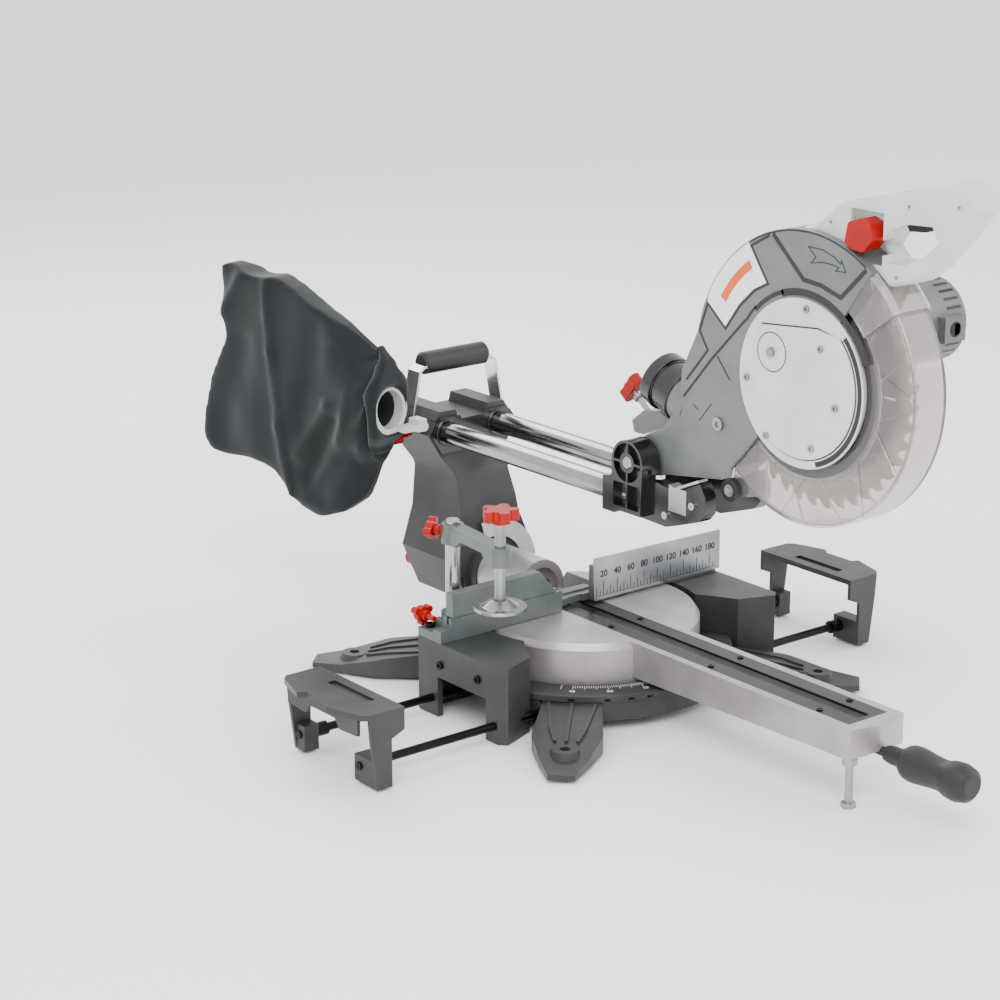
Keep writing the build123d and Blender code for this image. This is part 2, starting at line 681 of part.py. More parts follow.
with BuildPart() as pivot_bracket:
    # crosspiece that holds the rails, and two cheeks with the hinge barrels
    crosspiece = [(bracket_back, bracket_bottom), (-112, bracket_bottom), (-124, 240), (-124, 260),
                  (-104, 270), (bracket_back, 268)]
    shape(across(-bracket_half), crosspiece, 2 * bracket_half)
    for side in (-1, 1):
        low, high = sorted((side * cheek_inner, side * cheek_outer))
        cheek = [
            (-100, bracket_bottom + 1), (-182, bracket_bottom - 1), (-200, 236), (-232, 247),
            (bracket_front, 256), (bracket_front, 274), (-232, 287), (-196, 271), (-160, 275),
            (-131, 289), (-107, 285),
        ]
        shape(across(low), cheek, high - low)
        bar(at(side * cheek_inner, *pivot, (side, 0, 0)), barrel_radius, bracket_half - cheek_inner)
        web = [(-107, 289), (-107, bracket_bottom + 4), (-153, bracket_bottom + 4), (-155, 289)]
        low, high = sorted((side * cheek_inner, side * bracket_half))
        shape(across(low), web, high - low)
    # open ends of the barrels, with crossed ribs and a boss
    for side in (-1, 1):
        face = side * (bracket_half + 1)
        with BuildSketch(across(face)) as pocket:
            with Locations(pivot):
                Circle(barrel_radius - 3)
                Circle(11, mode=Mode.SUBTRACT)
                Rectangle(100, 2.5, mode=Mode.SUBTRACT)
                Rectangle(2.5, 100, mode=Mode.SUBTRACT)
            Polygon((-110, 266), (-110, 240), (-150, 240), (-152, 266), align=None)
            Polygon((-129.7, 270), (-129.7, 236), (-132.3, 236), (-132.3, 270), align=None,
                    mode=Mode.SUBTRACT)
        extrude(pocket.sketch, amount=-side * 8, mode=Mode.SUBTRACT)
    bar(at(-100, *pivot, (1, 0, 0)), pivot_pin, 200, mode=Mode.SUBTRACT)
    for side in (-1, 1):
        bar(at(side * rail_x, rail_front, rail_z, (0, 1, 0)), rail_radius, 60, mode=Mode.SUBTRACT)
pivot_bracket.part.label = "pivot_bracket"
export_step(pivot_bracket.part, "parts/pivot_bracket.step")

with BuildPart() as pivot_shaft:
    bar(at(-bracket_half - 1, *pivot, (1, 0, 0)), pivot_pin, 2 * bracket_half + 2)
    chamfer(pivot_shaft.edges().filter_by(GeomType.CIRCLE), 1.5)
pivot_shaft.part.label = "pivot_shaft"
export_step(pivot_shaft.part, "parts/pivot_shaft.step")

spring_mean = 18.5
spring_wire = 1.6
spring_pitch = 4.5
spring_turns = 6.0
with BuildPart() as return_spring:
    with BuildLine():
        coil = Helix(pitch=spring_pitch, height=spring_pitch * spring_turns, radius=spring_mean,
                     center=(-22, *pivot), direction=(1, 0, 0))
    with BuildSketch(coil ^ 0):
        Circle(spring_wire)
    sweep()
return_spring.part.label = "return_spring"
export_step(return_spring.part, "parts/return_spring.step")

with BuildPart() as depth_stop_plate:
    # bent steel strip on the left cheek that the depth stop meets
    strip = [(-188, 277.6), (-196, 275.6), (-231, 291.4), (-232.5, 289.2), (-196.3, 272.8), (-188, 275)]
    shape(across(-cheek_outer - 2.5), strip, 13)
    block((-cheek_outer - 2.5, -214, 250), (-cheek_outer, -188, 276))
    above_strip = [(-196, 275.6), (-231, 291.4), (-231, 320), (-188, 320), (-188, 277.6)]
    shape(across(-cheek_outer - 3), above_strip, 2.9, mode=Mode.SUBTRACT)
    # bolts of the bracket
    for y, z in ((-182, 243), (-222, 262)):
        for side in (-1, 1):
            socket_screw(at(side * (cheek_outer + 0.05), y, z, (-side, 0, 0)), 0.1, 0.05, 4, 3)
    for x in (-40, 40):
        hex_screw(at(x, -165, 277.5, (0, 0, 1)), 0.1, 0.01, 5.5, -4)
depth_stop_plate.part.label = "depth_stop_plate"
export_step(depth_stop_plate.part, "parts/depth_stop_plate.step")

# ---------------------------------------------------------------- head casting
hub_core = 14.0
hub_solid_from = 10.0  # the spring goes round the hub on the left of this X
case_wall = 4.0
gear_room = 34.0
port_centre = (-180.0, 350.0)
port_direction = (0, cos(radians(18)), sin(radians(18)))
port_radius = 27.0
port_stub = 22.0
bearing_outer = 13.0
stop_plane = Plane(origin=(0, -79, 346), z_dir=(0, -0.79, -0.613))
with BuildPart() as upper_guard_arm:
    arm_outline = [
        (-242, 291), (-150, 276), (-140, 268), (-116, 285), (-124, 312), (-152, 326), (-177, 356),
        (-180, 394), (-206, 446), (-300, 432), (-279, 387), (-277, 345), (-263, 330),
    ]
    shape(across(-guard_half), arm_outline, 2 * guard_half)
    bar(at(-guard_half, *pivot, (1, 0, 0)), barrel_radius - 1, 2 * guard_half)
    ring_sector(across(-guard_half), guard_radius, rim_radius + play, guard_front_angle, 228, 2 * guard_half)
    # lug for the depth stop and stub for the dust port
    shape(across(-10), [(-160, 318), (-150, 340), (-104, 332), (-86, 318), (-90, 306), (-104, 306),
                        (-126, 316)], 20)
    bar(Plane(origin=(0, *port_centre), z_dir=port_direction), port_radius, port_stub)
    # room for the blade and the moving guard
    with BuildSketch(across(-guard_half + guard_wall)) as cavity:
        with Locations(arbor):
            Circle(guard_radius - guard_wall)
    extrude(cavity.sketch, amount=2 * (guard_half - guard_wall), mode=Mode.SUBTRACT)
    bar(at(-guard_half - 1, *arbor, (1, 0, 0)), rim_radius + play, guard_half, mode=Mode.SUBTRACT)
    # hollow arm, open on the right
    pocket = [(-230, 299), (-160, 288), (-160, 330), (-184, 356), (-187, 392), (-196, 414), (-199, 380),
              (-206, 346)]
    shape(across(-guard_half + 8), pocket, 60, mode=Mode.SUBTRACT)
    # right wall: web behind the blade and the gear case
    ring_sector(across(guard_half - guard_wall), guard_radius - 1, 0, guard_front_angle, 228, guard_wall)
    with BuildSketch(across(guard_half - guard_wall)) as case_base:
        with Locations(arbor):
            Circle(gear_room + case_wall + 4)
        with Locations(motor):
            Circle(motor_radius)
        Polygon(ahead(100, 75), ahead(100, 120), ahead(35, 120), ahead(35, 75), align=None)
    extrude(case_base.sketch, amount=guard_wall)
    with BuildSketch(across(guard_half)) as case_body:
        with Locations(arbor):
            Circle(gear_room + case_wall)
        with Locations(motor):
            Circle(motor_radius)
    extrude(case_body.sketch, amount=case_end - guard_half)
    with BuildSketch(across(guard_half + case_wall)) as gear_space:
        with Locations(arbor):
            Circle(gear_room)
        with Locations(motor):
            Circle(motor_radius - case_wall)
    extrude(gear_space.sketch, amount=case_end, mode=Mode.SUBTRACT)
    # cuts: bearings, spring room, hinge pin, dust way, front rim of the case
    bar(at(guard_half - guard_wall - 1, *arbor, (1, 0, 0)), bearing_outer, 20, mode=Mode.SUBTRACT)
    with BuildSketch(across(-guard_half + 2)) as spring_room:
        with Locations(pivot):
            Circle(barrel_radius + 1)
            Circle(hub_core, mode=Mode.SUBTRACT)
    extrude(spring_room.sketch, amount=hub_solid_from + guard_half - 2, mode=Mode.SUBTRACT)
    bar(at(-100, *pivot, (1, 0, 0)), pivot_pin + running, 200, mode=Mode.SUBTRACT)
    bar(Plane(origin=(0, *port_centre), z_dir=port_direction), port_radius - 5, 40, mode=Mode.SUBTRACT)
    bar(Plane(origin=(0, *port_centre), z_dir=port_direction).offset(port_stub), port_radius + 4, 60,
        mode=Mode.SUBTRACT)
    bar(stop_plane, 3.0 + running, 60, mode=Mode.SUBTRACT)
    bar(at(44, arbor[0] - gear_room - case_wall - 3, arbor[1], (0, 1, 0)), 3.5, 12, mode=Mode.SUBTRACT)
upper_guard_arm.part.label = "upper_guard_arm"
export_step(upper_guard_arm.part, "parts/upper_guard_arm.step")

hub_plate_radius = 84.0
hub_plate_thickness = 2.3
with BuildPart() as guard_hub_plate:
    bar(at(-guard_half, *arbor, (-1, 0, 0)), hub_plate_radius, hub_plate_thickness)
    tube(at(-guard_half, *arbor, (1, 0, 0)), rim_radius, rim_radius - 4, 7.5)
guard_hub_plate.part.label = "guard_hub_plate"
export_step(guard_hub_plate.part, "parts/guard_hub_plate.step")

side_plate_thickness = 1.7
with BuildPart() as guard_side_plate:
    with BuildSketch(across(-guard_half - hub_plate_thickness)) as plate:
        with Locations(arbor):
            Circle(74)
        Polygon((-296, 462), (-372, 470), (-440, 460), (-440, 320), (-290, 320), (-286, 380), align=None,
                mode=Mode.INTERSECT)
    extrude(plate.sketch, amount=-side_plate_thickness)
    with BuildSketch(across(-guard_half - hub_plate_thickness - side_plate_thickness)) as groove:
        with Locations((-312, 437)):
            Circle(20)
            Circle(19, mode=Mode.SUBTRACT)
    extrude(groove.sketch, amount=0.6, mode=Mode.SUBTRACT)
guard_side_plate.part.label = "guard_side_plate"
export_step(guard_side_plate.part, "parts/guard_side_plate.step")

plate_face = -guard_half - hub_plate_thickness - side_plate_thickness
plate_screws = [(-378, 452), (-400, 398), (-370, 352), (-308, 352)]
with BuildPart() as side_plate_screws:
    for y, z in plate_screws:
        socket_screw(at(plate_face - 0.05, y, z, (1, 0, 0)), 0.1, 0.05, 3.6, 2)
    hex_screw(at(plate_face - 0.05, -312, 437, (1, 0, 0)), 0.1, 0.05, 5, 3.5)
    for y, z in ((-356, 487), (-277, 405)):
        socket_screw(at(-guard_half - hub_plate_thickness - 0.05, y, z, (1, 0, 0)), 0.1, 0.05, 3.6, 2)
    socket_screw(at(-guard_half - 0.05, -236, 348, (1, 0, 0)), 0.1, 0.05, 7, 3)
side_plate_screws.part.label = "side_plate_screws"
export_step(side_plate_screws.part, "parts/side_plate_screws.step")

with BuildPart() as dust_port:
    port_plane = Plane(origin=(0, *port_centre), z_dir=port_direction)
    tube(port_plane.offset(port_stub), port_radius, port_radius - 3, 34)
    tube(port_plane.offset(port_stub + 26), port_radius + 3, port_radius - 3, 14)
    tube(port_plane.offset(port_stub), port_radius + 2, port_radius - 3, 4)
dust_port.part.label = "dust_port"
export_step(dust_port.part, "parts/dust_port.step")

# ---------------------------------------------------------------- motor
motor_seat = 8.0
stator_outer = motor_radius - motor_wall
stator_inner = 23.0
rotor_bearing = 11.0
with BuildPart() as motor_housing:
    bar(at(case_end, *motor, (1, 0, 0)), motor_radius, motor_end - case_end)
    # brush holders at the front and at the back
    block((motor_end - 44, motor[0] - motor_radius - 9, motor[1] - 13),
          (motor_end - 14, motor[0] + motor_radius + 9, motor[1] + 13))
    # pad that closes the gear case
    with BuildSketch(across(case_end)) as cover:
        with Locations(arbor):
            Circle(gear_room + case_wall)
        with Locations(motor):
            Circle(motor_radius)
    extrude(cover.sketch, amount=motor_seat)
    fillet(motor_housing.faces().sort_by(Axis.X)[-1].edges(), 5)
    bar(at(case_end + motor_seat, *motor, (1, 0, 0)), stator_outer, motor_end - case_end - motor_seat - 6,
        mode=Mode.SUBTRACT)
    bar(at(case_end - 1, *motor, (1, 0, 0)), rotor_bearing, 40, mode=Mode.SUBTRACT)
    bar(at(case_end - 1, *arbor, (1, 0, 0)), rotor_bearing, 7, mode=Mode.SUBTRACT)
    bar(at(motor_end - 6.5, *motor, (1, 0, 0)), 8, 4, mode=Mode.SUBTRACT)
    # cooling slots in the end
    with BuildSketch(across(motor_end + 1)) as slots:
        with Locations(motor):
            with PolarLocations(24, 12):
                SlotOverall(16, 4)
    extrude(slots.sketch, amount=-10, mode=Mode.SUBTRACT)
    # brush bores
    for side in (-1, 1):
        bar(at(motor_end - 29, motor[0] + side * (motor_radius + 10), motor[1], (0, -side, 0)), 8, 30,
            mode=Mode.SUBTRACT)
motor_housing.part.label = "motor_housing"
export_step(motor_housing.part, "parts/motor_housing.step")

with BuildPart() as brush_caps:
    for side in (-1, 1):
        cap_plane = at(motor_end - 29, motor[0] + side * (motor_radius + 9.5), motor[1], (0, -side, 0))
        bar(cap_plane, 8, 10)
        with BuildSketch(cap_plane) as slot:
            Rectangle(11, 2)
        extrude(slot.sketch, amount=1.6, mode=Mode.SUBTRACT)
brush_caps.part.label = "brush_caps"
export_step(brush_caps.part, "parts/brush_caps.step")

with BuildPart() as motor_stator:
    tube(at(82, *motor, (1, 0, 0)), stator_outer, stator_inner, 44)
motor_stator.part.label = "motor_stator"
export_step(motor_stator.part, "parts/motor_stator.step")

rotor_shaft = 5.0
pinion_addendum = 1.25
with BuildPart() as motor_rotor:
    bar(at(32, *motor, (1, 0, 0)), rotor_shaft, motor_end - 6.5 + 3 - 32)
    bar(at(84, *motor, (1, 0, 0)), stator_inner - 0.7, 40)
    bar(at(130, *motor, (1, 0, 0)), 14, 18)
    tube(at(case_end + motor_seat + 1, *motor, (1, 0, 0)), stator_outer - 2, rotor_shaft - 1, 6)
    # pinion, a gap between its teeth facing the gear
    toward = Plane(origin=(34, *motor), x_dir=(0, arbor[0] - motor[0], arbor[1] - motor[1]), z_dir=(1, 0, 0))
    with BuildSketch(toward) as pinion:
        Polygon(*gear_outline(pinion_teeth, pinion_addendum, 1.9, 0.13), align=None)
    half_tooth = 180 / pinion_teeth
    extrude(pinion.sketch.rotate(Axis(origin=(0, *motor), direction=(1, 0, 0)), half_tooth), amount=12)
motor_rotor.part.label = "motor_rotor"
export_step(motor_rotor.part, "parts/motor_rotor.step")

with BuildPart() as shaft_bearings:
    tube(at(guard_half - guard_wall, *arbor, (1, 0, 0)), bearing_outer, arbor_shaft_radius + running, 7.5)
    tube(at(case_end, *arbor, (1, 0, 0)), rotor_bearing, arbor_shaft_radius + running, 6)
    tube(at(case_end, *motor, (1, 0, 0)), rotor_bearing, rotor_shaft + running, motor_seat)
    tube(at(motor_end - 6, *motor, (1, 0, 0)), 8, rotor_shaft + running, 3.5)
shaft_bearings.part.label = "shaft_bearings"
export_step(shaft_bearings.part, "parts/shaft_bearings.step")

# ---------------------------------------------------------------- blade and arbor
flange_radius = 22.0
flange_width = 5.0
tooth_depth = 9.0
with BuildPart() as saw_blade:
    points = []
    pitch_angle = 360 / blade_teeth
    for n in range(blade_teeth):
        turn = n * pitch_angle
        points += [
            ahead(blade_radius - tooth_depth, turn + pitch_angle * 0.34),
            ahead(blade_radius - 2.5, turn + pitch_angle * 0.62),
            ahead(blade_radius - 1.0, turn + pitch_angle * 0.86),
            ahead(blade_radius, turn + pitch_angle),
            ahead(blade_radius - tooth_depth * 0.7, turn + pitch_angle * 0.98),
            ahead(blade_radius - tooth_depth - 1, turn + pitch_angle * 1.12),
        ]
    with BuildSketch(across(-blade_thickness / 2)) as disc:
        Polygon(*points, align=None)
        with Locations(arbor):
            Circle(blade_bore, mode=Mode.SUBTRACT)
            with PolarLocations(88, 4):
                SlotOverall(26, 2.5, rotation=0, mode=Mode.SUBTRACT)
    extrude(disc.sketch, amount=blade_thickness)
saw_blade.part.label = "saw_blade"
export_step(saw_blade.part, "parts/saw_blade.step")

with BuildPart() as arbor_shaft:
    bar(at(-blade_thickness / 2 - flange_width, *arbor, (1, 0, 0)), arbor_shaft_radius,
        case_end + 6 + blade_thickness / 2 + flange_width)
    bar(at(-blade_thickness / 2, *arbor, (1, 0, 0)), blade_bore, blade_thickness)
    bar(at(blade_thickness / 2, *arbor, (1, 0, 0)), flange_radius, flange_width)
    bar(at(blade_thickness / 2, *arbor, (1, 0, 0)), 9, guard_half - guard_wall - blade_thickness / 2 - 0.5)
    to_motor = (0, motor[0] - arbor[0], motor[1] - arbor[1])
    gear_plane = Plane(origin=(34, *arbor), x_dir=to_motor, z_dir=(1, 0, 0))
    with BuildSketch(gear_plane) as gear:
        Polygon(*gear_outline(gear_teeth, 1.15, 1.9, 0.13), align=None)
    extrude(gear.sketch, amount=12)
    # outer flange and the bolt that clamps the blade
    tube(at(-blade_thickness / 2, *arbor, (-1, 0, 0)), flange_radius, arbor_shaft_radius, flange_width)
    hex_screw(at(-blade_thickness / 2 - flange_width - 2, *arbor, (1, 0, 0)), 9, 2, 9, 6)

arbor_shaft.part.label = "arbor_shaft"
export_step(arbor_shaft.part, "parts/arbor_shaft.step")

# ---------------------------------------------------------------- moving guard
guard_ring_width = 14.0
with BuildPart() as lower_guard:
    span = (lower_back_angle, lower_front_angle)
    ring_sector(across(-lower_half), lower_radius, lower_radius - lower_wall, *span, 2 * lower_half)
    ring_sector(across(-lower_half), lower_radius, rim_radius + 3, *span, lower_wall)
    ring_sector(across(lower_half - lower_wall), lower_radius, gear_room + case_wall + 22, *span, lower_wall)
    # slanted ribs on the left face
    for angle in (-112, -88, -40, -14, 18):
        foot = ahead(rim_radius + 16, angle)
        tip = ahead(lower_radius - 1, angle - 14)
        along = atan2(tip[1] - foot[1], tip[0] - foot[0])
        across_rib = (-sin(along) * 1.2, cos(along) * 1.2)
        rib = [
            (foot[0] + across_rib[0], foot[1] + across_rib[1]),
            (tip[0] + across_rib[0], tip[1] + across_rib[1]),
            (tip[0] - across_rib[0], tip[1] - across_rib[1]),
            (foot[0] - across_rib[0], foot[1] - across_rib[1]),
        ]
        shape(across(-lower_half - 0.8), rib, 1.0)
    # lug for the roller
    lug = [ahead(lower_radius - 1, -132), ahead(lower_radius + 20, -128), ahead(lower_radius + 20, -123),
           ahead(lower_radius - 1, -115)]
    shape(across(-lower_half), lug, 3)
    with BuildSketch(across(-lower_half - 1)) as pin_hole:
        with Locations(ahead(159, -126)):
            Circle(3.0)
    extrude(pin_hole.sketch, amount=5, mode=Mode.SUBTRACT)
lower_guard.part.label = "lower_guard"
export_step(lower_guard.part, "parts/lower_guard.step")

with BuildPart() as guard_hub_ring:
    tube(at(-lower_half + lower_wall, *arbor, (1, 0, 0)), rim_radius + guard_ring_width,
         rim_radius + running, 2.5)
guard_hub_ring.part.label = "guard_hub_ring"
export_step(guard_hub_ring.part, "parts/guard_hub_ring.step")

roller_spot = ahead(159, -126)
with BuildPart() as guard_roller:
    bar(at(-lower_half - 1, *roller_spot, (-1, 0, 0)), 12, 7)
    bar(at(-lower_half + 3.2, *roller_spot, (-1, 0, 0)), 3.0 - running, 5)
    bar(at(-lower_half + 5.2, *roller_spot, (-1, 0, 0)), 5, 2)
    bar(at(-lower_half - 7, *roller_spot, (-1, 0, 0)), 5, 1)
guard_roller.part.label = "guard_roller"
export_step(guard_roller.part, "parts/guard_roller.step")

# ---------------------------------------------------------------- handle on the head
handle_half = 17.0
handle_wall = 4.0
boss_reach = handle_half - handle_wall + 1  # bosses and the window's rim run into the outer wall
handle_outline = [
    (-330, 560), (-352, 568), (-386, 597), (-460, 616), (-529, 630), (-549, 620), (-552, 606), (-530, 578),
    (-499, 544), (-478, 530), (-446, 520), (-420, 500),
]
handle_window = [(-434, 556), (-448, 576), (-470, 584), (-500, 586), (-508, 572), (-490, 556), (-466, 545),
                 (-446, 545)]
handle_screws = [(-372, 572), (-530, 608), (-470, 600), (-458, 532)]
for side, name in ((-1, "handle_left_shell"), (1, "handle_right_shell")):
    with BuildPart() as shell:
        low, high = sorted((side * 0.1, side * handle_half))
        with BuildSketch(across(low)) as outline:
            Polygon(*handle_outline, align=None)
            fillet(outline.vertices().filter_by(lambda v: v.Z > 525), 5)
        extrude(outline.sketch, amount=high - low)
        rims = shell.faces().sort_by(Axis.X)[0 if side < 0 else -1].edges()
        fillet(rims, 6)
        # hollow, with a window for the fingers
        with BuildSketch(across(side * 0.1)) as inside:
            Polygon(*handle_outline, align=None)
            offset(amount=-handle_wall, kind=Kind.INTERSECTION)
        extrude(inside.sketch, amount=side * (handle_half - handle_wall), mode=Mode.SUBTRACT)
        with BuildSketch(across(side * 0.1)) as wall:
            Polygon(*handle_window, align=None)
            offset(amount=3.5, kind=Kind.INTERSECTION)
        extrude(wall.sketch, amount=side * boss_reach)
        with BuildSketch(across(side * 0.1)) as window:
            Polygon(*handle_window, align=None)
        extrude(window.sketch, amount=side * 40, mode=Mode.SUBTRACT)
        for y, z in handle_screws:
            bar(at(side * 0.1, y, z, (side, 0, 0)), 5, boss_reach)
        for y, z in handle_screws:
            bar(at(side * 0.1, y, z, (side, 0, 0)), 2.0, handle_half + 2, mode=Mode.SUBTRACT)
        bar(at(-50, *arbor, (1, 0, 0)), guard_radius, 100, mode=Mode.SUBTRACT)
        # slots for the trigger and the lock-off lever
        block((-6.3, -500, 574), (6.3, -452, 606), mode=Mode.SUBTRACT)
        block((-22, -440, 540), (-2, -398, 590), mode=Mode.SUBTRACT)
    shell.part.label = name
    export_step(shell.part, f"parts/{name}.step")

trigger_hinge = (-458.0, 600.0)
with BuildPart() as trigger:
    finger_piece = [(-462, 603), (-454, 603), (-452, 590), (-462, 575), (-482, 577), (-496, 582),
                    (-496, 590), (-480, 588), (-466, 592)]
    shape(across(-6), finger_piece, 12)
    bar(at(-9, *trigger_hinge, (1, 0, 0)), 2.5, 18)
trigger.part.label = "trigger"
export_step(trigger.part, "parts/trigger.step")

lever_hinge = (-404.0, 566.0)
with BuildPart() as lock_off_lever:
    with BuildSketch(across(-27)) as lever:
        Polygon((-400, 558), (-411, 553), (-424, 552), (-437, 566), (-432, 580), (-420, 584), (-404, 578),
                align=None)
        fillet(lever.vertices(), 4)
    extrude(lever.sketch, amount=20)
    bar(at(-8, *lever_hinge, (1, 0, 0)), 3, 6)
lock_off_lever.part.label = "lock_off_lever"
export_step(lock_off_lever.part, "parts/lock_off_lever.step")

with BuildPart() as spindle_lock_button:
    bar(at(44, arbor[0] - gear_room - case_wall - 8, arbor[1], (0, 1, 0)), 6, 5)
    bar(at(44, arbor[0] - gear_room - case_wall - 3, arbor[1], (0, 1, 0)), 3.5 - running, 6)
spindle_lock_button.part.label = "spindle_lock_button"
export_step(spindle_lock_button.part, "parts/spindle_lock_button.step")

with BuildPart() as depth_stop_screw:
    bar(stop_plane, 3.0, 52)
    with BuildSketch(stop_plane) as wings:
        Circle(7)
        with GridLocations(20, 1, 2, 1):
            Circle(7)
        Rectangle(20, 12)
    extrude(wings.sketch, amount=-12)
    tube(stop_plane.offset(6), 6, 2.5, 4)
depth_stop_screw.part.label = "depth_stop_screw"
export_step(depth_stop_screw.part, "parts/depth_stop_screw.step")

# ---------------------------------------------------------------- fence
flange_depth = 26.0
post_boss = 13.0
with BuildPart() as fixed_fence:
    base = table_top + fence_lift
    block((-fence_half, 0, table_top), (-block_inner - 6, 40, table_top + 9))
    block((block_inner + 6, ruler_thickness, table_top), (fence_half, 40, table_top + 9))
    block((-fence_half, 0, base), (fence_gap_left + 10, fence_thickness, fence_height))
    block((fence_gap_right, ruler_thickness, base), (fence_half, fence_thickness, 126))
    block((-fence_half + 2, fence_thickness - 1, base), (fence_half - 2, flange_depth - 1, base + 8))
    shape(facing(flange_depth + 10), [(-20, base), (-16, base + 10), (30, base + 10), (34, base)], 12)
    with BuildSketch(level(table_top)) as boss:
        with Locations((post_x, post_y)):
            Circle(post_boss)
    extrude(boss.sketch, amount=fence_height - table_top - 1)
    for x in (-180, -148, 150, 172):
        block((x - 4, fence_thickness - 1, table_top), (x + 4, 34, 100 if x > 0 else 102))
    # stepped end of the left side, slide groove, way for the blade, post bore
    block((-fence_half - 1, -1, fence_height - 12), (-fence_half + 14, fence_thickness + 1, fence_height + 1),
          mode=Mode.SUBTRACT)
    block((-fence_half - 1, 4, fence_height - 8), (0, 8, fence_height + 1), mode=Mode.SUBTRACT)
    block((-kerf_half - 6, -1, table_top - 1), (kerf_half, fence_thickness + 1, fence_height + 1),
          mode=Mode.SUBTRACT)
    with BuildSketch(level(table_top + 3)) as bore:
        with Locations((post_x, post_y)):
            Circle(post_radius + running)
    extrude(bore.sketch, amount=60, mode=Mode.SUBTRACT)
    for x in (-190, -134, 134, 190):
        bar(at(x, 32, table_top - 1, (0, 0, 1)), 3.5, 12, mode=Mode.SUBTRACT)
fixed_fence.part.label = "fixed_fence"
export_step(fixed_fence.part, "parts/fixed_fence.step")

with BuildPart() as fence_ruler_plate:
    ruler = [(fence_gap_right - 4, ruler_bottom), (ruler_end, ruler_bottom), (ruler_end, ruler_top - 3),
             (fence_gap_right - 4, ruler_top)]
    shape(facing(ruler_thickness), ruler, ruler_thickness)
fence_ruler_plate.part.label = "fence_ruler_plate"
export_step(fence_ruler_plate.part, "parts/fence_ruler_plate.step")

with BuildPart() as sliding_fence:
    low_left = -fence_half + 16
    face = [(low_left, fence_height + 0.2), (low_left, fence_top), (fence_gap_left - 22, fence_top + 1),
            (fence_gap_left + 2, fence_height + 0.2)]
    shape(facing(fence_thickness - 2), face, fence_thickness - 2)
    block((low_left + 10, 4 + running, fence_height - 7), (fence_gap_left - 4, 8 - running, fence_height + 1))
sliding_fence.part.label = "sliding_fence"
export_step(sliding_fence.part, "parts/sliding_fence.step")

with BuildPart() as fence_lock_knob:
    star_knob(at(-187, 46, 103, (0, -1, 0)), 13, 3, 9, 6)
    bar(at(-187, 40, 103, (0, -1, 0)), 3.0, 12)
fence_lock_knob.part.label = "fence_lock_knob"
export_step(fence_lock_knob.part, "parts/fence_lock_knob.step")

with BuildPart() as base_screws:
    for x in (-190, -134, 134, 190):
        socket_screw(at(x, 32, table_top + 9, (0, 0, -1)), 3.4, 8, 5.5, 4)
    for side in (-1, 1):
        for y, z in ((-64, 64), (1, 61)):
            socket_screw(at(side * (block_outer + 0.1), y, z, (-side, 0, 0)), 0.1, 0.1, 4.5, 2.5)
base_screws.part.label = "base_screws"
export_step(base_screws.part, "parts/base_screws.step")

# ---------------------------------------------------------------- vise
with BuildPart() as vise_post:
    bar(at(post_x, post_y, table_top + 3.2, (0, 0, 1)), post_radius, post_top - table_top - 3.2)
    chamfer(vise_post.edges().sort_by(Axis.Z)[-1], 1.5)
vise_post.part.label = "vise_post"
export_step(vise_post.part, "parts/vise_post.step")

arm_reach = hypot(screw_x - post_x, screw_y - post_y)
arm_direction = ((screw_x - post_x) / arm_reach, (screw_y - post_y) / arm_reach, 0)
with BuildPart() as vise_arm:
    arm_plane = Plane(origin=(post_x, post_y, vise_arm_bottom), x_dir=arm_direction, z_dir=(0, 0, 1))
    with BuildSketch(arm_plane) as bar_plan:
        Circle(12)
        with Locations((arm_reach, 0)):
            Circle(11)
        Polygon((0, -9), (arm_reach, -8), (arm_reach, 8), (0, 9), align=None)
    extrude(bar_plan.sketch, amount=vise_arm_top - vise_arm_bottom)
    relief = Plane(origin=(post_x, post_y, 0), x_dir=arm_direction,
                   z_dir=(arm_direction[1], -arm_direction[0], 0))
    with BuildSketch(relief.offset(-20)) as notch:
        Polygon((16, vise_arm_bottom - 1), (30, vise_arm_bottom + 9), (arm_reach - 24, vise_arm_bottom + 9),
                (arm_reach - 14, vise_arm_bottom - 1), align=None)
    extrude(notch.sketch, amount=40, mode=Mode.SUBTRACT)
    bar(at(post_x, post_y, 100, (0, 0, 1)), post_radius + running, 200, mode=Mode.SUBTRACT)
    bar(at(screw_x, screw_y, 100, (0, 0, 1)), vise_screw_radius + running, 200, mode=Mode.SUBTRACT)
    bar(at(post_x, post_y, 198, (-0.5, 0.866, 0)), 4, 40, mode=Mode.SUBTRACT)
vise_arm.part.label = "vise_arm"
export_step(vise_arm.part, "parts/vise_arm.step")

pad_bottom = 139.0
knob_bottom = 232.0
with BuildPart() as vise_screw:
    bar(at(screw_x, screw_y, pad_bottom + 5, (0, 0, 1)), vise_screw_radius, knob_bottom - pad_bottom - 5)
    star_knob(at(screw_x, screw_y, knob_bottom + 4, (0, 0, -1)), 20, 5, 12, 4)
vise_screw.part.label = "vise_screw"
export_step(vise_screw.part, "parts/vise_screw.step")

with BuildPart() as vise_pad:
    bar(at(screw_x, screw_y, pad_bottom, (0, 0, 1)), 28, 4)
    with Locations((screw_x, screw_y, pad_bottom + 4)):
        Cone(20, 10, 7, align=(Align.CENTER, Align.CENTER, Align.MIN))
    bar(at(screw_x, screw_y, pad_bottom + 5 - running, (0, 0, 1)), vise_screw_radius + running, 20,
        mode=Mode.SUBTRACT)
vise_pad.part.label = "vise_pad"
export_step(vise_pad.part, "parts/vise_pad.step")

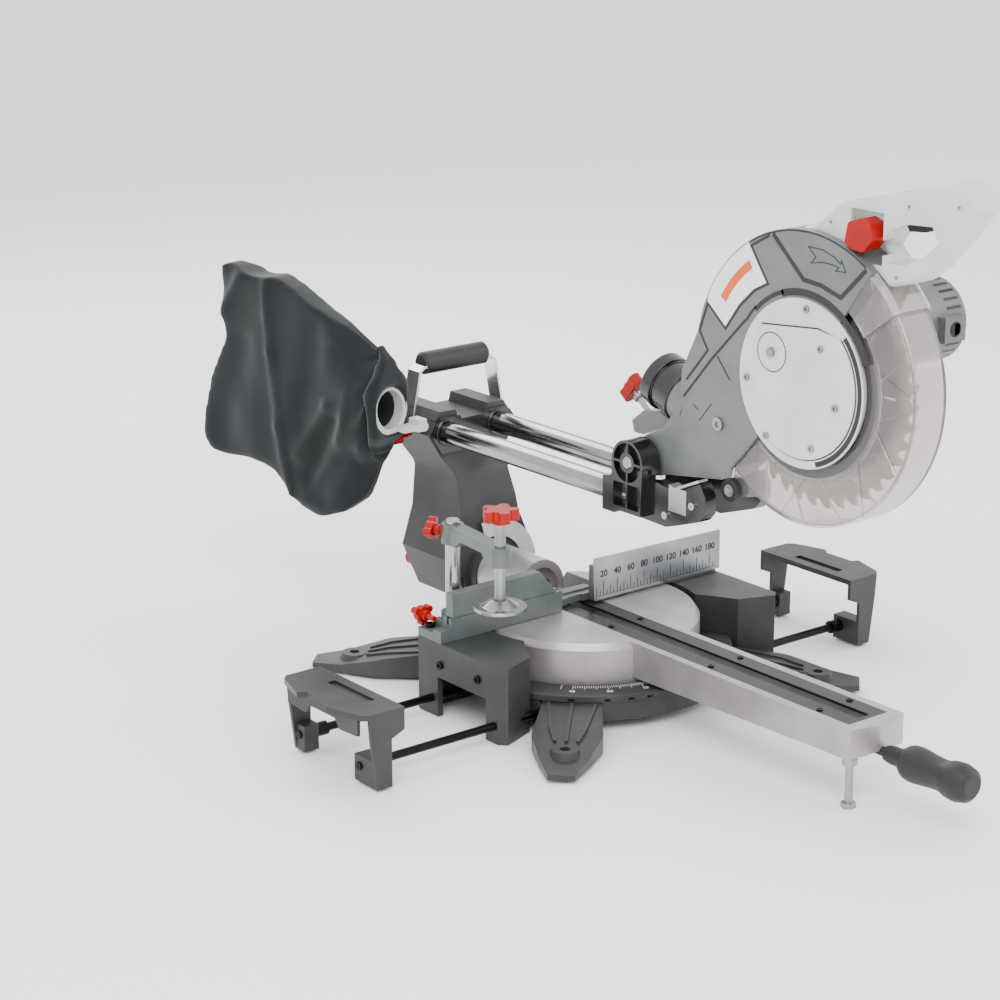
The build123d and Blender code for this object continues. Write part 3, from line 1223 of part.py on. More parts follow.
with BuildPart() as vise_lock_knob:
    knob_plane = Plane(origin=(post_x, post_y, 198), z_dir=(-0.5, 0.866, 0)).offset(20)
    star_knob(Plane(origin=knob_plane.origin, z_dir=(0.5, -0.866, 0)), 14, 3, 9, 6)
    bar(Plane(origin=knob_plane.origin, z_dir=(0.5, -0.866, 0)), 4 - running, 11)
vise_lock_knob.part.label = "vise_lock_knob"
export_step(vise_lock_knob.part, "parts/vise_lock_knob.step")

# ---------------------------------------------------------------- side supports
plate_thickness = 6.0
plate_corner = 7.0  # slant across the outer corners of the top
plate_horn = 12.0  # how far the outer edge stands out at its two ends
leg_back_edge = 16.0  # the legs' edges, counted from the support's inner edge
leg_front_edge = 34.0
leg_bottom = 3.0
rod_socket_half = 9.0
rod_end = 36.0  # where the rods end, from the inner edge
stop_collar = 7.5
middle = (support_front + support_back) / 2
under = table_top - plate_thickness
support_places = ((-1, left_support_inner, "left_support"), (1, right_support_inner, "right_support"))
for side, inner, name in support_places:
    outer = inner + support_width
    with BuildPart() as support:
        plate = [
            (side * inner, support_front), (side * (outer - plate_corner), support_front),
            (side * outer, support_front + plate_corner), (side * (outer + plate_horn), middle - 26),
            (side * (outer + 4), middle - 22), (side * (outer + 4), middle + 22),
            (side * (outer + plate_horn), middle + 26), (side * outer, support_back - plate_corner),
            (side * (outer - plate_corner), support_back), (side * inner, support_back),
        ]
        shape(level(under), plate, plate_thickness)
        # end walls that run down to a leg
        for y in (support_front + support_sheet, support_back):
            wall = [
                (side * inner, under + 1), (side * inner, under - 18),
                (side * (inner + leg_back_edge), under - 25),
                (side * (inner + leg_back_edge), leg_bottom), (side * (inner + leg_front_edge), leg_bottom),
                (side * (outer - plate_corner - 2), under - 24), (side * (outer - plate_corner), under + 1),
            ]
            shape(facing(y), wall, support_sheet)
        skirt = [(support_front + 12, under + 1), (support_front + 12, under - 18), (middle - 30, under - 20),
                 (middle - 22, under - 10), (middle + 22, under - 10), (middle + 30, under - 20),
                 (support_back - 12, under - 18), (support_back - 12, under + 1)]
        low, high = sorted((side * (outer - 4), side * (outer - 0.5)))
        shape(across(low), skirt, high - low)
        # sockets at the legs' feet for the rods
        low, high = sorted((side * (inner + leg_back_edge), side * (inner + leg_front_edge)))
        block((low, support_front + 1, leg_bottom), (high, rod_front + rod_socket_half, rod_z + 11))
        block((low, rod_back - rod_socket_half, leg_bottom), (high, support_back - 1, rod_z + 11))
        for y in (rod_front, rod_back):
            bar(at(side * (inner + leg_back_edge - 6), y, rod_z, (side, 0, 0)), support_rod_radius, 40,
                mode=Mode.SUBTRACT)
        # shallow finger pocket in the top
        low, high = sorted((side * (inner + 12), side * (inner + 22)))
        block((low, middle - 40, table_top - 3), (high, middle + 30, table_top + 1), mode=Mode.SUBTRACT)
    support.part.label = name
    export_step(support.part, f"parts/{name}.step")
    with BuildPart() as rods:
        for y in (rod_front, rod_back):
            bar(at(side * (block_outer - rod_inside), y, rod_z, (side, 0, 0)), support_rod_radius,
                inner + rod_end - block_outer + rod_inside)
            tube(at(side * (inner + 1), y, rod_z, (side, 0, 0)), stop_collar, support_rod_radius - 1, 14)
    rods.part.label = f"{name}_rods"
    export_step(rods.part, f"parts/{name}_rods.step")
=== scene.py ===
import json
from math import atan2, cos, exp, pi, radians, sin

import bmesh
import bpy
from mathutils import Matrix, Vector, noise


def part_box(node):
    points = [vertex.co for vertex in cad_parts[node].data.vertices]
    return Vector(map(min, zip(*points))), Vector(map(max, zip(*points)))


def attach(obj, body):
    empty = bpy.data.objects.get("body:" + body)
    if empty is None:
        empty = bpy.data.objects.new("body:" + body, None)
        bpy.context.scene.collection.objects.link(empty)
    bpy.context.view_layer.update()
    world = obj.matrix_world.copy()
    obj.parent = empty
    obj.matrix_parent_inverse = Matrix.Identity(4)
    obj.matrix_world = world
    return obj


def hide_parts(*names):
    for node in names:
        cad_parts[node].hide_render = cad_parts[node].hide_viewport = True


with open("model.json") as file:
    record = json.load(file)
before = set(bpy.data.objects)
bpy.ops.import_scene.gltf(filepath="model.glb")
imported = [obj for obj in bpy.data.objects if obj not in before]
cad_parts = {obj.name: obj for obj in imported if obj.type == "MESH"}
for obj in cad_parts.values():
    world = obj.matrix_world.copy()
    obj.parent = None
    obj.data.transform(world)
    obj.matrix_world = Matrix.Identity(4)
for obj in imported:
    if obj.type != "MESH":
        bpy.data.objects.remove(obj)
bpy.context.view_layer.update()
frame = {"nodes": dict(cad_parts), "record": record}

nodes = frame["nodes"]
print("frame loaded:", len(nodes), "nodes")


# small helpers

def linearColour(hexCode, alpha=1.0):
    # sRGB hex to the linear values that shaders take
    parts = [int(hexCode[i:i + 2], 16) / 255 for i in (1, 3, 5)]
    return tuple(c / 12.92 if c <= 0.04045 else ((c + 0.055) / 1.055) ** 2.4 for c in parts) + (alpha,)


def addNode(tree, kind, values=None, links=None, **settings):
    made = tree.nodes.new(kind)
    for key, value in settings.items():
        setattr(made, key, value)
    for key, value in (values or {}).items():
        made.inputs[key].default_value = value
    for key, source in (links or {}).items():
        tree.links.new(source, made.inputs[key])
    return made


def newMaterial(name, shaderValues):
    material = bpy.data.materials.new(name)
    material.use_nodes = True
    tree = material.node_tree
    shader = tree.nodes["Principled BSDF"]
    for key, value in shaderValues.items():
        shader.inputs[key].default_value = value
    where = addNode(tree, "ShaderNodeTexCoord").outputs["Object"]
    return material, tree, shader, where


def tone(tree, shader, where, darker, lighter, patchMm):
    # slow drift between two near colours, patchMm across
    cloud = addNode(tree, "ShaderNodeTexNoise", {"Scale": 1000 / patchMm, "Detail": 3.0}, {"Vector": where})
    ramp = addNode(tree, "ShaderNodeValToRGB", None, {"Fac": cloud.outputs["Fac"]})
    ramp.color_ramp.elements[0].position = 0.35
    ramp.color_ramp.elements[0].color = linearColour(darker)
    ramp.color_ramp.elements[1].position = 0.65
    ramp.color_ramp.elements[1].color = linearColour(lighter)
    tree.links.new(ramp.outputs["Color"], shader.inputs["Base Color"])


def gloss(tree, shader, where, low, high, patchMm, stretch=(1, 1, 1)):
    # roughness that wanders between two values
    turned = addNode(tree, "ShaderNodeMapping", {"Scale": stretch}, {"Vector": where})
    cloud = addNode(tree, "ShaderNodeTexNoise", {"Scale": 1000 / patchMm, "Detail": 4.0},
                    {"Vector": turned.outputs["Vector"]})
    spread = addNode(tree, "ShaderNodeMapRange", {"To Min": low, "To Max": high},
                     {"Value": cloud.outputs["Fac"]})
    tree.links.new(spread.outputs["Result"], shader.inputs["Roughness"])


def grain(tree, shader, where, grainMm, depthMm, stretch=(1, 1, 1)):
    # fine surface relief from noise, grainMm across and depthMm deep
    turned = addNode(tree, "ShaderNodeMapping", {"Scale": stretch}, {"Vector": where})
    cloud = addNode(tree, "ShaderNodeTexNoise", {"Scale": 1000 / grainMm, "Detail": 2.0},
                    {"Vector": turned.outputs["Vector"]})
    bump = addNode(tree, "ShaderNodeBump", {"Strength": 1.0, "Distance": depthMm / 1000},
                   {"Height": cloud.outputs["Fac"]})
    tree.links.new(bump.outputs["Normal"], shader.inputs["Normal"])


# finishes: darker and lighter tone, metallic, roughness range, grain and its depth in mm, extra shader values
finishes = {
    # powder coat on cast aluminium: even and slightly pebbled, soft highlights
    "powderCoatGrey": dict(tones=("#2b2c2c", "#353636"), metallic=0.0, rough=(0.36, 0.5), grain=(1.6, 0.05),
                           extra={"Specular IOR Level": 0.35}),
    # glossy machine enamel, darker and smoother than the powder coat
    "enamelCharcoal": dict(tones=("#0d0d0f", "#141416"), metallic=0.0, rough=(0.16, 0.26), grain=(2.4, 0.03),
                           extra={"Coat Weight": 0.3, "Coat Roughness": 0.12}),
    # satin grey enamel of the saw head
    "enamelHeadGrey": dict(tones=("#5c5e5e", "#676968"), metallic=0.0, rough=(0.3, 0.42), grain=(1.8, 0.035),
                           extra={"Coat Weight": 0.25, "Coat Roughness": 0.25}),
    # silver lacquer with metal flake over a casting
    "silverLacquer": dict(tones=("#9d9796", "#aea8a6"), metallic=0.6, rough=(0.32, 0.46), grain=(1.4, 0.04),
                          extra={"Coat Weight": 0.2, "Coat Roughness": 0.3}),
    # as-cast grey ring with a dry, sandy skin
    "castRingGrey": dict(tones=("#2e3030", "#3b3d3d"), metallic=0.3, rough=(0.5, 0.66), grain=(1.2, 0.07)),
    # grey-green paint on the fence
    "fencePaint": dict(tones=("#565d5c", "#636b6a"), metallic=0.35, rough=(0.3, 0.44), grain=(1.5, 0.04)),
    # nylon motor case, moulded with a fine spark texture
    "mouldedNylonGrey": dict(tones=("#5e5c5c", "#696767"), metallic=0.0, rough=(0.42, 0.55),
                             grain=(0.9, 0.03)),
    # ABS mouldings
    "mouldedAbsBlack": dict(tones=("#0c0c0d", "#131314"), metallic=0.0, rough=(0.26, 0.4),
                            grain=(1.0, 0.025), extra={"Specular IOR Level": 0.3}),
    "mouldedAbsRed": dict(tones=("#930200", "#a80300"), metallic=0.0, rough=(0.26, 0.38), grain=(2.0, 0.03),
                          extra={"Specular IOR Level": 0.25}),
    # soft-touch grip rubber, dull
    "gripRubber": dict(tones=("#121314", "#1a1b1d"), metallic=0.0, rough=(0.45, 0.6), grain=(0.8, 0.04)),
    "tyreRubber": dict(tones=("#0d0d0d", "#151515"), metallic=0.0, rough=(0.55, 0.7), grain=(0.7, 0.04)),
    # white enamelled sheet of the hub and side plates
    "whiteEnamelSheet": dict(tones=("#c9c8c9", "#d3d3d3"), metallic=0.15, rough=(0.24, 0.34),
                             grain=(3.0, 0.015), extra={"Coat Weight": 0.3, "Coat Roughness": 0.15}),
    # zinc plate on screws: bluish, slightly cloudy
    "zincPlate": dict(tones=("#858684", "#a2a3a1"), metallic=1.0, rough=(0.22, 0.4), grain=(0.6, 0.02)),
    # black oxide on small screws and rods
    "blackOxide": dict(tones=("#0f0f11", "#1a1a1d"), metallic=0.8, rough=(0.3, 0.46), grain=(0.8, 0.02)),
    # ground bearing steel
    "groundSteel": dict(tones=("#8d8d8f", "#a3a3a6"), metallic=1.0, rough=(0.16, 0.3), grain=(0.5, 0.01)),
    # varnished copper windings
    "varnishedCopper": dict(tones=("#7a3d18", "#a65c2a"), metallic=0.9, rough=(0.3, 0.5), grain=(1.0, 0.05)),
    "pointerRedPaint": dict(tones=("#8c2d22", "#a83a2c"), metallic=0.0, rough=(0.35, 0.5), grain=(1.0, 0.02)),
    "printBlack": dict(tones=("#121213", "#1a1a1b"), metallic=0.0, rough=(0.4, 0.55), grain=(0.5, 0.01)),
    # painted shade: dark stripes laid where grooves, a recess and gaps fall in shadow
    "paintedShadeGrey": dict(tones=("#151616", "#1e1f1f"), metallic=0.0, rough=(0.45, 0.6), grain=(1.0, 0.03)),
    "labelWhite": dict(tones=("#e7e6e4", "#f1f0ee"), metallic=0.0, rough=(0.28, 0.38), grain=(1.5, 0.01)),
    "labelOrange": dict(tones=("#d24f08", "#de5c10"), metallic=0.0, rough=(0.28, 0.38), grain=(1.5, 0.01)),
    "scaleWhitePaint": dict(tones=("#cfd0cf", "#dcdddc"), metallic=0.0, rough=(0.4, 0.5), grain=(0.8, 0.01)),
}
tonePatchMm = 45
glossPatchMm = 18
materials = {}
for name, spec in finishes.items():
    values = {"Metallic": spec["metallic"], **spec.get("extra", {})}
    material, tree, shader, where = newMaterial(name, values)
    tone(tree, shader, where, *spec["tones"], tonePatchMm)
    gloss(tree, shader, where, *spec["rough"], glossPatchMm)
    grain(tree, shader, where, *spec["grain"])
    materials[name] = material


def brushedSteel(name, tones, rough, along, pitchMm, depthMm):
    # steel worked in one direction: long fine scratches along one axis
    material, tree, shader, where = newMaterial(name, {"Metallic": 1.0})
    tone(tree, shader, where, *tones, 60)
    stretch = tuple(0.02 if axis == along else 1.0 for axis in "XYZ")
    gloss(tree, shader, where, *rough, pitchMm * 4, stretch)
    grain(tree, shader, where, pitchMm, depthMm, stretch)
    materials[name] = material


# name, tones, roughness, direction of the scratches, their pitch and depth in mm
brushedSteel("groundChrome", ("#8b8a8d", "#a3a2a5"), (0.1, 0.22), "Y", 1.2, 0.004)  # ground bars
brushedSteel("chromePost", ("#9b9b9e", "#b3b3b5"), (0.06, 0.16), "Z", 1.2, 0.004)
brushedSteel("satinStainless", ("#919395", "#a5a7a9"), (0.26, 0.42), "X", 0.7, 0.01)  # along the ruler
brushedSteel("brightStrip", ("#c3c3c4", "#dadadb"), (0.14, 0.3), "Y", 0.9, 0.006)


def bladeSteel():
    # saw plate ground in circles round its bore
    centre = [(a + b) / 2 for a, b in zip(*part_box("saw_blade"))]
    material, tree, shader, where = newMaterial("groundToolSteel", {"Metallic": 1.0})
    tone(tree, shader, where, "#9b9690", "#b5b1ab", 40)
    moved = addNode(tree, "ShaderNodeMapping", {"Location": [-c for c in centre]}, {"Vector": where})
    flat = addNode(tree, "ShaderNodeVectorMath", {1: (0.0, 1.0, 1.0)}, {0: moved.outputs["Vector"]},
                   operation="MULTIPLY")
    radius = addNode(tree, "ShaderNodeVectorMath", None, {0: flat.outputs["Vector"]}, operation="LENGTH")
    rings = addNode(tree, "ShaderNodeTexNoise", {"Scale": 900.0, "Detail": 2.0},
                    {"W": radius.outputs["Value"]}, noise_dimensions="1D")
    spread = addNode(tree, "ShaderNodeMapRange", {"To Min": 0.2, "To Max": 0.42},
                     {"Value": rings.outputs["Fac"]})
    bump = addNode(tree, "ShaderNodeBump", {"Strength": 1.0, "Distance": 0.00002},
                   {"Height": rings.outputs["Fac"]})
    tree.links.new(spread.outputs["Result"], shader.inputs["Roughness"])
    tree.links.new(bump.outputs["Normal"], shader.inputs["Normal"])
    materials["groundToolSteel"] = material


def clearPlastic(name, colour, transmission, rough, waveMm):
    # moulded clear or milky plastic with faint flow waves
    values = {"Base Color": linearColour(colour), "Transmission Weight": transmission, "IOR": 1.49}
    material, tree, shader, where = newMaterial(name, values)
    gloss(tree, shader, where, *rough, 25)
    grain(tree, shader, where, waveMm, 0.05)
    materials[name] = material


def wovenPolyester():
    # bag cloth: fine plain weave, matt with a soft sheen, dusty in places
    values = {"Sheen Weight": 0.18, "Sheen Roughness": 0.5, "Specular IOR Level": 0.25}
    material, tree, shader, where = newMaterial("wovenPolyester", values)
    tone(tree, shader, where, "#0f1214", "#181c1e", 70)
    gloss(tree, shader, where, 0.78, 0.92, 20)
    threadMm = 0.9
    wave = {"Scale": 1000 / threadMm / 20 * pi, "Distortion": 0.6}
    warp, weft = [addNode(tree, "ShaderNodeTexWave", wave, {"Vector": where}, bands_direction=axis)
                  for axis in ("Y", "Z")]
    weave = addNode(tree, "ShaderNodeMath", None, {0: warp.outputs["Fac"], 1: weft.outputs["Fac"]},
                    operation="ADD")
    bump = addNode(tree, "ShaderNodeBump", {"Strength": 0.5, "Distance": 0.00008},
                   {"Height": weave.outputs["Value"]})
    tree.links.new(bump.outputs["Normal"], shader.inputs["Normal"])
    materials["wovenPolyester"] = material


bladeSteel()
clearPlastic("clearPolycarbonate", "#e6dedd", 0.92, (0.05, 0.14), 30)
clearPlastic("milkyPolypropylene", "#eef0ec", 0.45, (0.25, 0.38), 20)
wovenPolyester()
print("materials made:", len(materials))

# which finish each node wears
nodeFinish = {
    "base_casting": "powderCoatGrey", "miter_scale_ring": "castRingGrey", "foot_pads": "tyreRubber",
    "turntable_pivot_bolt": "zincPlate", "fixed_fence": "fencePaint", "fence_ruler_plate": "satinStainless",
    "base_screws": "blackOxide", "fence_lock_knob": "mouldedAbsRed", "left_support": "powderCoatGrey",
    "left_support_rods": "blackOxide", "right_support": "powderCoatGrey", "right_support_rods": "blackOxide",
    "sliding_fence": "fencePaint", "vise_post": "chromePost", "vise_arm": "fencePaint",
    "vise_screw": "mouldedAbsRed", "vise_pad": "groundSteel", "vise_lock_knob": "mouldedAbsRed",
    "turntable": "silverLacquer", "kerf_inserts": "mouldedAbsBlack", "insert_screws": "blackOxide",
    "miter_pointer": "pointerRedPaint", "stabiliser_bolt": "zincPlate", "bevel_pivot_bolt": "groundSteel",
    "miter_lock_handle": "gripRubber", "bevel_column": "powderCoatGrey", "linear_bearings": "groundSteel",
    "carry_handle_strap": "brightStrip", "carry_handle_grip": "gripRubber",
    "bevel_scale": "whiteEnamelSheet", "bag_spigot": "milkyPolypropylene",
    "bevel_lock_knob": "mouldedAbsRed", "slide_lock_knob": "mouldedAbsRed",
    "slide_rails": "groundChrome", "pivot_bracket": "enamelCharcoal", "pivot_shaft": "groundSteel",
    "return_spring": "groundSteel", "depth_stop_plate": "brightStrip", "upper_guard_arm": "enamelHeadGrey",
    "guard_hub_plate": "whiteEnamelSheet", "guard_side_plate": "whiteEnamelSheet",
    "side_plate_screws": "zincPlate", "dust_port": "enamelCharcoal", "motor_housing": "mouldedNylonGrey",
    "motor_stator": "varnishedCopper", "brush_caps": "mouldedAbsBlack",
    "handle_left_shell": "milkyPolypropylene", "handle_right_shell": "milkyPolypropylene",
    "shaft_bearings": "groundSteel", "trigger": "mouldedAbsBlack", "lock_off_lever": "mouldedAbsRed",
    "spindle_lock_button": "mouldedAbsBlack", "depth_stop_screw": "mouldedAbsRed",
    "saw_blade": "groundToolSteel", "arbor_shaft": "groundSteel", "motor_rotor": "groundSteel",
    "lower_guard": "clearPolycarbonate", "guard_hub_ring": "mouldedAbsBlack", "guard_roller": "tyreRubber",
    "dust_bag": "wovenPolyester",
}
for nodeName, finish in nodeFinish.items():
    mesh = nodes[nodeName].data
    mesh.materials.clear()
    mesh.materials.append(materials[finish])


def keepPiece(name, bm, finish, body, replaced=None):
    # turns a bmesh into a piece that rides a body
    mesh = bpy.data.meshes.new(name)
    bm.to_mesh(mesh)
    bm.free()
    piece = bpy.data.objects.new(name, mesh)
    bpy.context.scene.collection.objects.link(piece)
    mesh.materials.append(materials[finish])
    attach(piece, body)
    if replaced:
        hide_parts(replaced)
    return piece


# castings and mouldings get the small rounds that a mould leaves on every corner
roundedNodes = {
    # node: (radius in mm, segments)
    "base_casting": (1.2, 2), "turntable": (1.0, 2), "bevel_column": (1.4, 2), "left_support": (1.0, 2),
    "right_support": (1.0, 2), "fixed_fence": (0.8, 2), "sliding_fence": (0.8, 2), "vise_arm": (1.4, 2),
    "pivot_bracket": (1.2, 2), "upper_guard_arm": (1.1, 2), "dust_port": (0.8, 2), "motor_housing": (1.2, 2),
    "handle_left_shell": (1.6, 3), "handle_right_shell": (1.6, 3), "lock_off_lever": (1.2, 2),
    "trigger": (1.0, 2), "fence_lock_knob": (1.6, 3), "bevel_lock_knob": (2.2, 3),
    "slide_lock_knob": (1.8, 3), "vise_lock_knob": (1.8, 3), "vise_screw": (1.8, 3),
    "depth_stop_screw": (1.0, 2), "vise_pad": (0.8, 2),
    "carry_handle_grip": (1.5, 2), "carry_handle_strap": (0.6, 2), "guard_side_plate": (0.4, 2),
    "guard_hub_plate": (0.5, 2), "stabiliser_bolt": (0.6, 2), "kerf_inserts": (0.4, 1),
    "brush_caps": (0.6, 2), "guard_roller": (1.0, 2), "lower_guard": (0.5, 2), "depth_stop_plate": (0.4, 2),
    "miter_lock_handle": (0.6, 2), "miter_scale_ring": (0.5, 1), "foot_pads": (0.8, 2),
    "spindle_lock_button": (0.6, 2), "guard_hub_ring": (0.4, 1),
}
nodeBody = {n: b for b, members in frame["record"]["behaviour"]["bodies"].items() for n in members}
sharpFrom = radians(32)
flatWithin = radians(0.4)
weldWithin = 0.00001

# screws with a red knob: finish of the rod, its direction and the knob's length in metres
secondFinish = {
    "vise_screw": ("zincPlate", (0, 0, -1), 0.0225),
    "depth_stop_screw": ("zincPlate", (0, -0.79, -0.613), 0.013),
}


def roundEdges(nodeName, radiusMm, segments):
    # a copy of the node with its seams cleaned and its corners rounded
    bm = bmesh.new()
    bm.from_mesh(nodes[nodeName].data)
    bmesh.ops.remove_doubles(bm, verts=bm.verts, dist=weldWithin)
    bmesh.ops.dissolve_limit(bm, angle_limit=flatWithin, verts=bm.verts, edges=bm.edges)
    for face in bm.faces:
        face.smooth = True
    for edge in bm.edges:
        edge.smooth = edge.calc_face_angle(0) < sharpFrom
    piece = keepPiece(nodeName + "_rounded", bm, nodeFinish[nodeName], nodeBody[nodeName],
                      nodeName)
    if nodeName in secondFinish:
        rodFinish, direction, knobLength = secondFinish[nodeName]
        piece.data.materials.append(materials[rodFinish])
        along = [Vector(direction).dot(polygon.center) for polygon in piece.data.polygons]
        knobEnd = min(along) + knobLength
        for polygon, reach in zip(piece.data.polygons, along):
            polygon.material_index = 1 if reach > knobEnd else 0
    bevel = piece.modifiers.new("cornerRounds", "BEVEL")
    bevel.width = radiusMm / 1000
    bevel.segments = segments
    bevel.limit_method = "ANGLE"
    bevel.angle_limit = sharpFrom
    bevel.use_clamp_overlap = True
    bevel.harden_normals = True


for nodeName, (radiusMm, segments) in roundedNodes.items():
    roundEdges(nodeName, radiusMm, segments)
print("rounded pieces:", len(roundedNodes))


# flat marks: thin bars and text that stand a little proud of a face

def addBar(bm, centre, size, turn=None):
    shift = Matrix.Translation(centre)
    if turn is not None:
        shift = shift @ turn
    bmesh.ops.create_cube(bm, size=1.0, matrix=shift @ Matrix.Diagonal((*size, 1.0)))


def addDisc(bm, centre, radius, thick, segments):
    # flat cylinder with its axis along X
    bmesh.ops.create_cone(bm, cap_ends=True, segments=segments, radius1=radius, radius2=radius, depth=thick,
                          matrix=Matrix.Translation(centre) @ Matrix.Rotation(pi / 2, 4, "Y"))


def extrudeFaces(bm, faces, move):
    moved = bmesh.ops.extrude_face_region(bm, geom=faces)["geom"]
    bmesh.ops.translate(bm, vec=move, verts=[v for v in moved if isinstance(v, bmesh.types.BMVert)])
    bmesh.ops.recalc_face_normals(bm, faces=bm.faces)


def circle(centre, radius, count):
    # points round a circle, in the two coordinates of its face
    turns = [2 * pi * i / count for i in range(count)]
    return [(centre[0] + radius * cos(turn), centre[1] + radius * sin(turn)) for turn in turns]


def addText(bm, body, size, place, thick):
    # text as a mesh, its foot along the place matrix's X and its face along Z
    curve = bpy.data.curves.new("numeral", "FONT")
    curve.body = body
    curve.size = size
    curve.extrude = thick / 2
    curve.align_x = "CENTER"
    curve.offset = size * 0.02
    holder = bpy.data.objects.new("numeral", curve)
    bpy.context.scene.collection.objects.link(holder)
    bpy.context.view_layer.update()
    mesh = bpy.data.meshes.new_from_object(holder.evaluated_get(bpy.context.evaluated_depsgraph_get()))
    bpy.data.objects.remove(holder)
    mesh.transform(place)
    bm.from_mesh(mesh)
    bpy.data.meshes.remove(mesh)


def rulerMarks():
    # black ticks every 5 mm and numerals every 20 mm on the fence's ruler
    size = dict(zeroAt=0.008, first=10, last=185, step=5, tick=0.0005, short=0.006, medium=0.010,
                long=0.016, numeral=0.0105, numeralFoot=0.026, foot=0.004, line=0.0004, ends=0.01,
                thick=0.0003, sunk=0.00005)
    low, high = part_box("fence_ruler_plate")
    front = low.y - size["thick"] / 2 + size["sunk"]
    foot = low.z + size["foot"]
    bm = bmesh.new()
    for mm in range(size["first"], size["last"] + 1, size["step"]):
        height = size["long"] if mm % 20 == 0 else size["medium"] if mm % 10 == 0 else size["short"]
        x = size["zeroAt"] + mm / 1000
        addBar(bm, (x, front, foot + height / 2), (size["tick"], size["thick"], height))
        if mm % 20 == 0:
            place = Matrix.Translation((x, front, low.z + size["numeralFoot"]))
            place = place @ Matrix.Rotation(pi / 2, 4, "X")
            addText(bm, str(mm), size["numeral"], place, size["thick"])
    lineLong = high.x - low.x - size["ends"]
    addBar(bm, ((low.x + high.x) / 2, front, foot), (lineLong, size["thick"], size["line"]))
    keepPiece("ruler_marks", bm, "printBlack", "base")


def miterScale():
    # white ticks and numerals on the ring's top, 0 in front
    size = dict(inner=0.137, tickShort=0.006, tickLong=0.010, width=0.0006, numeralAt=0.1555, numeral=0.007,
                thick=0.0003)
    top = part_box("miter_scale_ring")[1].z + size["thick"] / 2
    bm = bmesh.new()
    for angle in range(-50, 51):
        if angle % 5 == 0 or abs(angle) < 46:
            length = size["tickLong"] if angle % 5 == 0 else size["tickShort"]
            turn = Matrix.Rotation(radians(angle - 90), 4, "Z")
            reach = size["inner"] + length / 2
            centre = turn @ Vector((reach, 0, 0))
            addBar(bm, (centre.x, centre.y, top), (length, size["width"], size["thick"]), turn)
        if angle % 15 == 0:
            turn = Matrix.Rotation(radians(angle), 4, "Z")
            foot = turn @ Vector((0, -size["numeralAt"], 0))
            addText(bm, str(abs(angle)), size["numeral"], Matrix.Translation((foot.x, foot.y, top)) @ turn,
                    size["thick"])
    keepPiece("miter_scale_marks", bm, "scaleWhitePaint", "base")


rulerMarks()
miterScale()
print("scales marked")

# blade axis, from the blade's own box
bladeLow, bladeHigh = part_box("saw_blade")
arborY = (bladeLow.y + bladeHigh.y) / 2
arborZ = (bladeLow.z + bladeHigh.z) / 2


def polar(radius, angle):
    # (Y, Z) at a radius in metres and an angle in degrees counted up from forward, round the blade axis
    return arborY - radius * cos(radians(angle)), arborZ + radius * sin(radians(angle))


def sideRibbon(bm, points, width, x, thick):
    # flat ribbon through (Y, Z) points on a face at x, with mitred corners
    count = len(points)
    leastCos = 0.4  # keeps sharp corners from running out to a spike
    rails = []
    for i, (y, z) in enumerate(points):
        before = Vector(points[max(i - 1, 0)])
        after = Vector(points[min(i + 1, count - 1)])
        here = Vector((y, z))
        inward = (here - before).normalized() if i else (after - here).normalized()
        outward = (after - here).normalized() if i < count - 1 else inward
        normal = (inward + outward).normalized()
        normal = Vector((-normal.y, normal.x))
        stretch = 1 / max(normal.dot(Vector((-inward.y, inward.x))), leastCos)
        side = normal * width / 2 * stretch
        rails.append([bm.verts.new((x + dx, here.x + s * side.x, here.y + s * side.y))
                      for dx in (0, -thick) for s in (-1, 1)])
    for a, b in zip(rails, rails[1:]):
        for i, j in ((0, 1), (1, 3), (3, 2), (2, 0)):
            bm.faces.new((a[i], a[j], b[j], b[i]))
    for end in (rails[0], rails[-1]):
        bm.faces.new((end[0], end[1], end[3], end[2]))
    bmesh.ops.recalc_face_normals(bm, faces=bm.faces)


def sidePatch(bm, points, x, thick):
    # flat patch with a (Y, Z) outline on a face at x
    face = bm.faces.new([bm.verts.new((x, y, z)) for y, z in points])
    extrudeFaces(bm, [face], (-thick, 0, 0))


def arc(radius, start, end, step=5):
    # (Y, Z) points round the blade axis, about step degrees apart
    turns = max(2, int(abs(end - start) / step) + 1)
    return [polar(radius, start + (end - start) * i / (turns - 1)) for i in range(turns)]


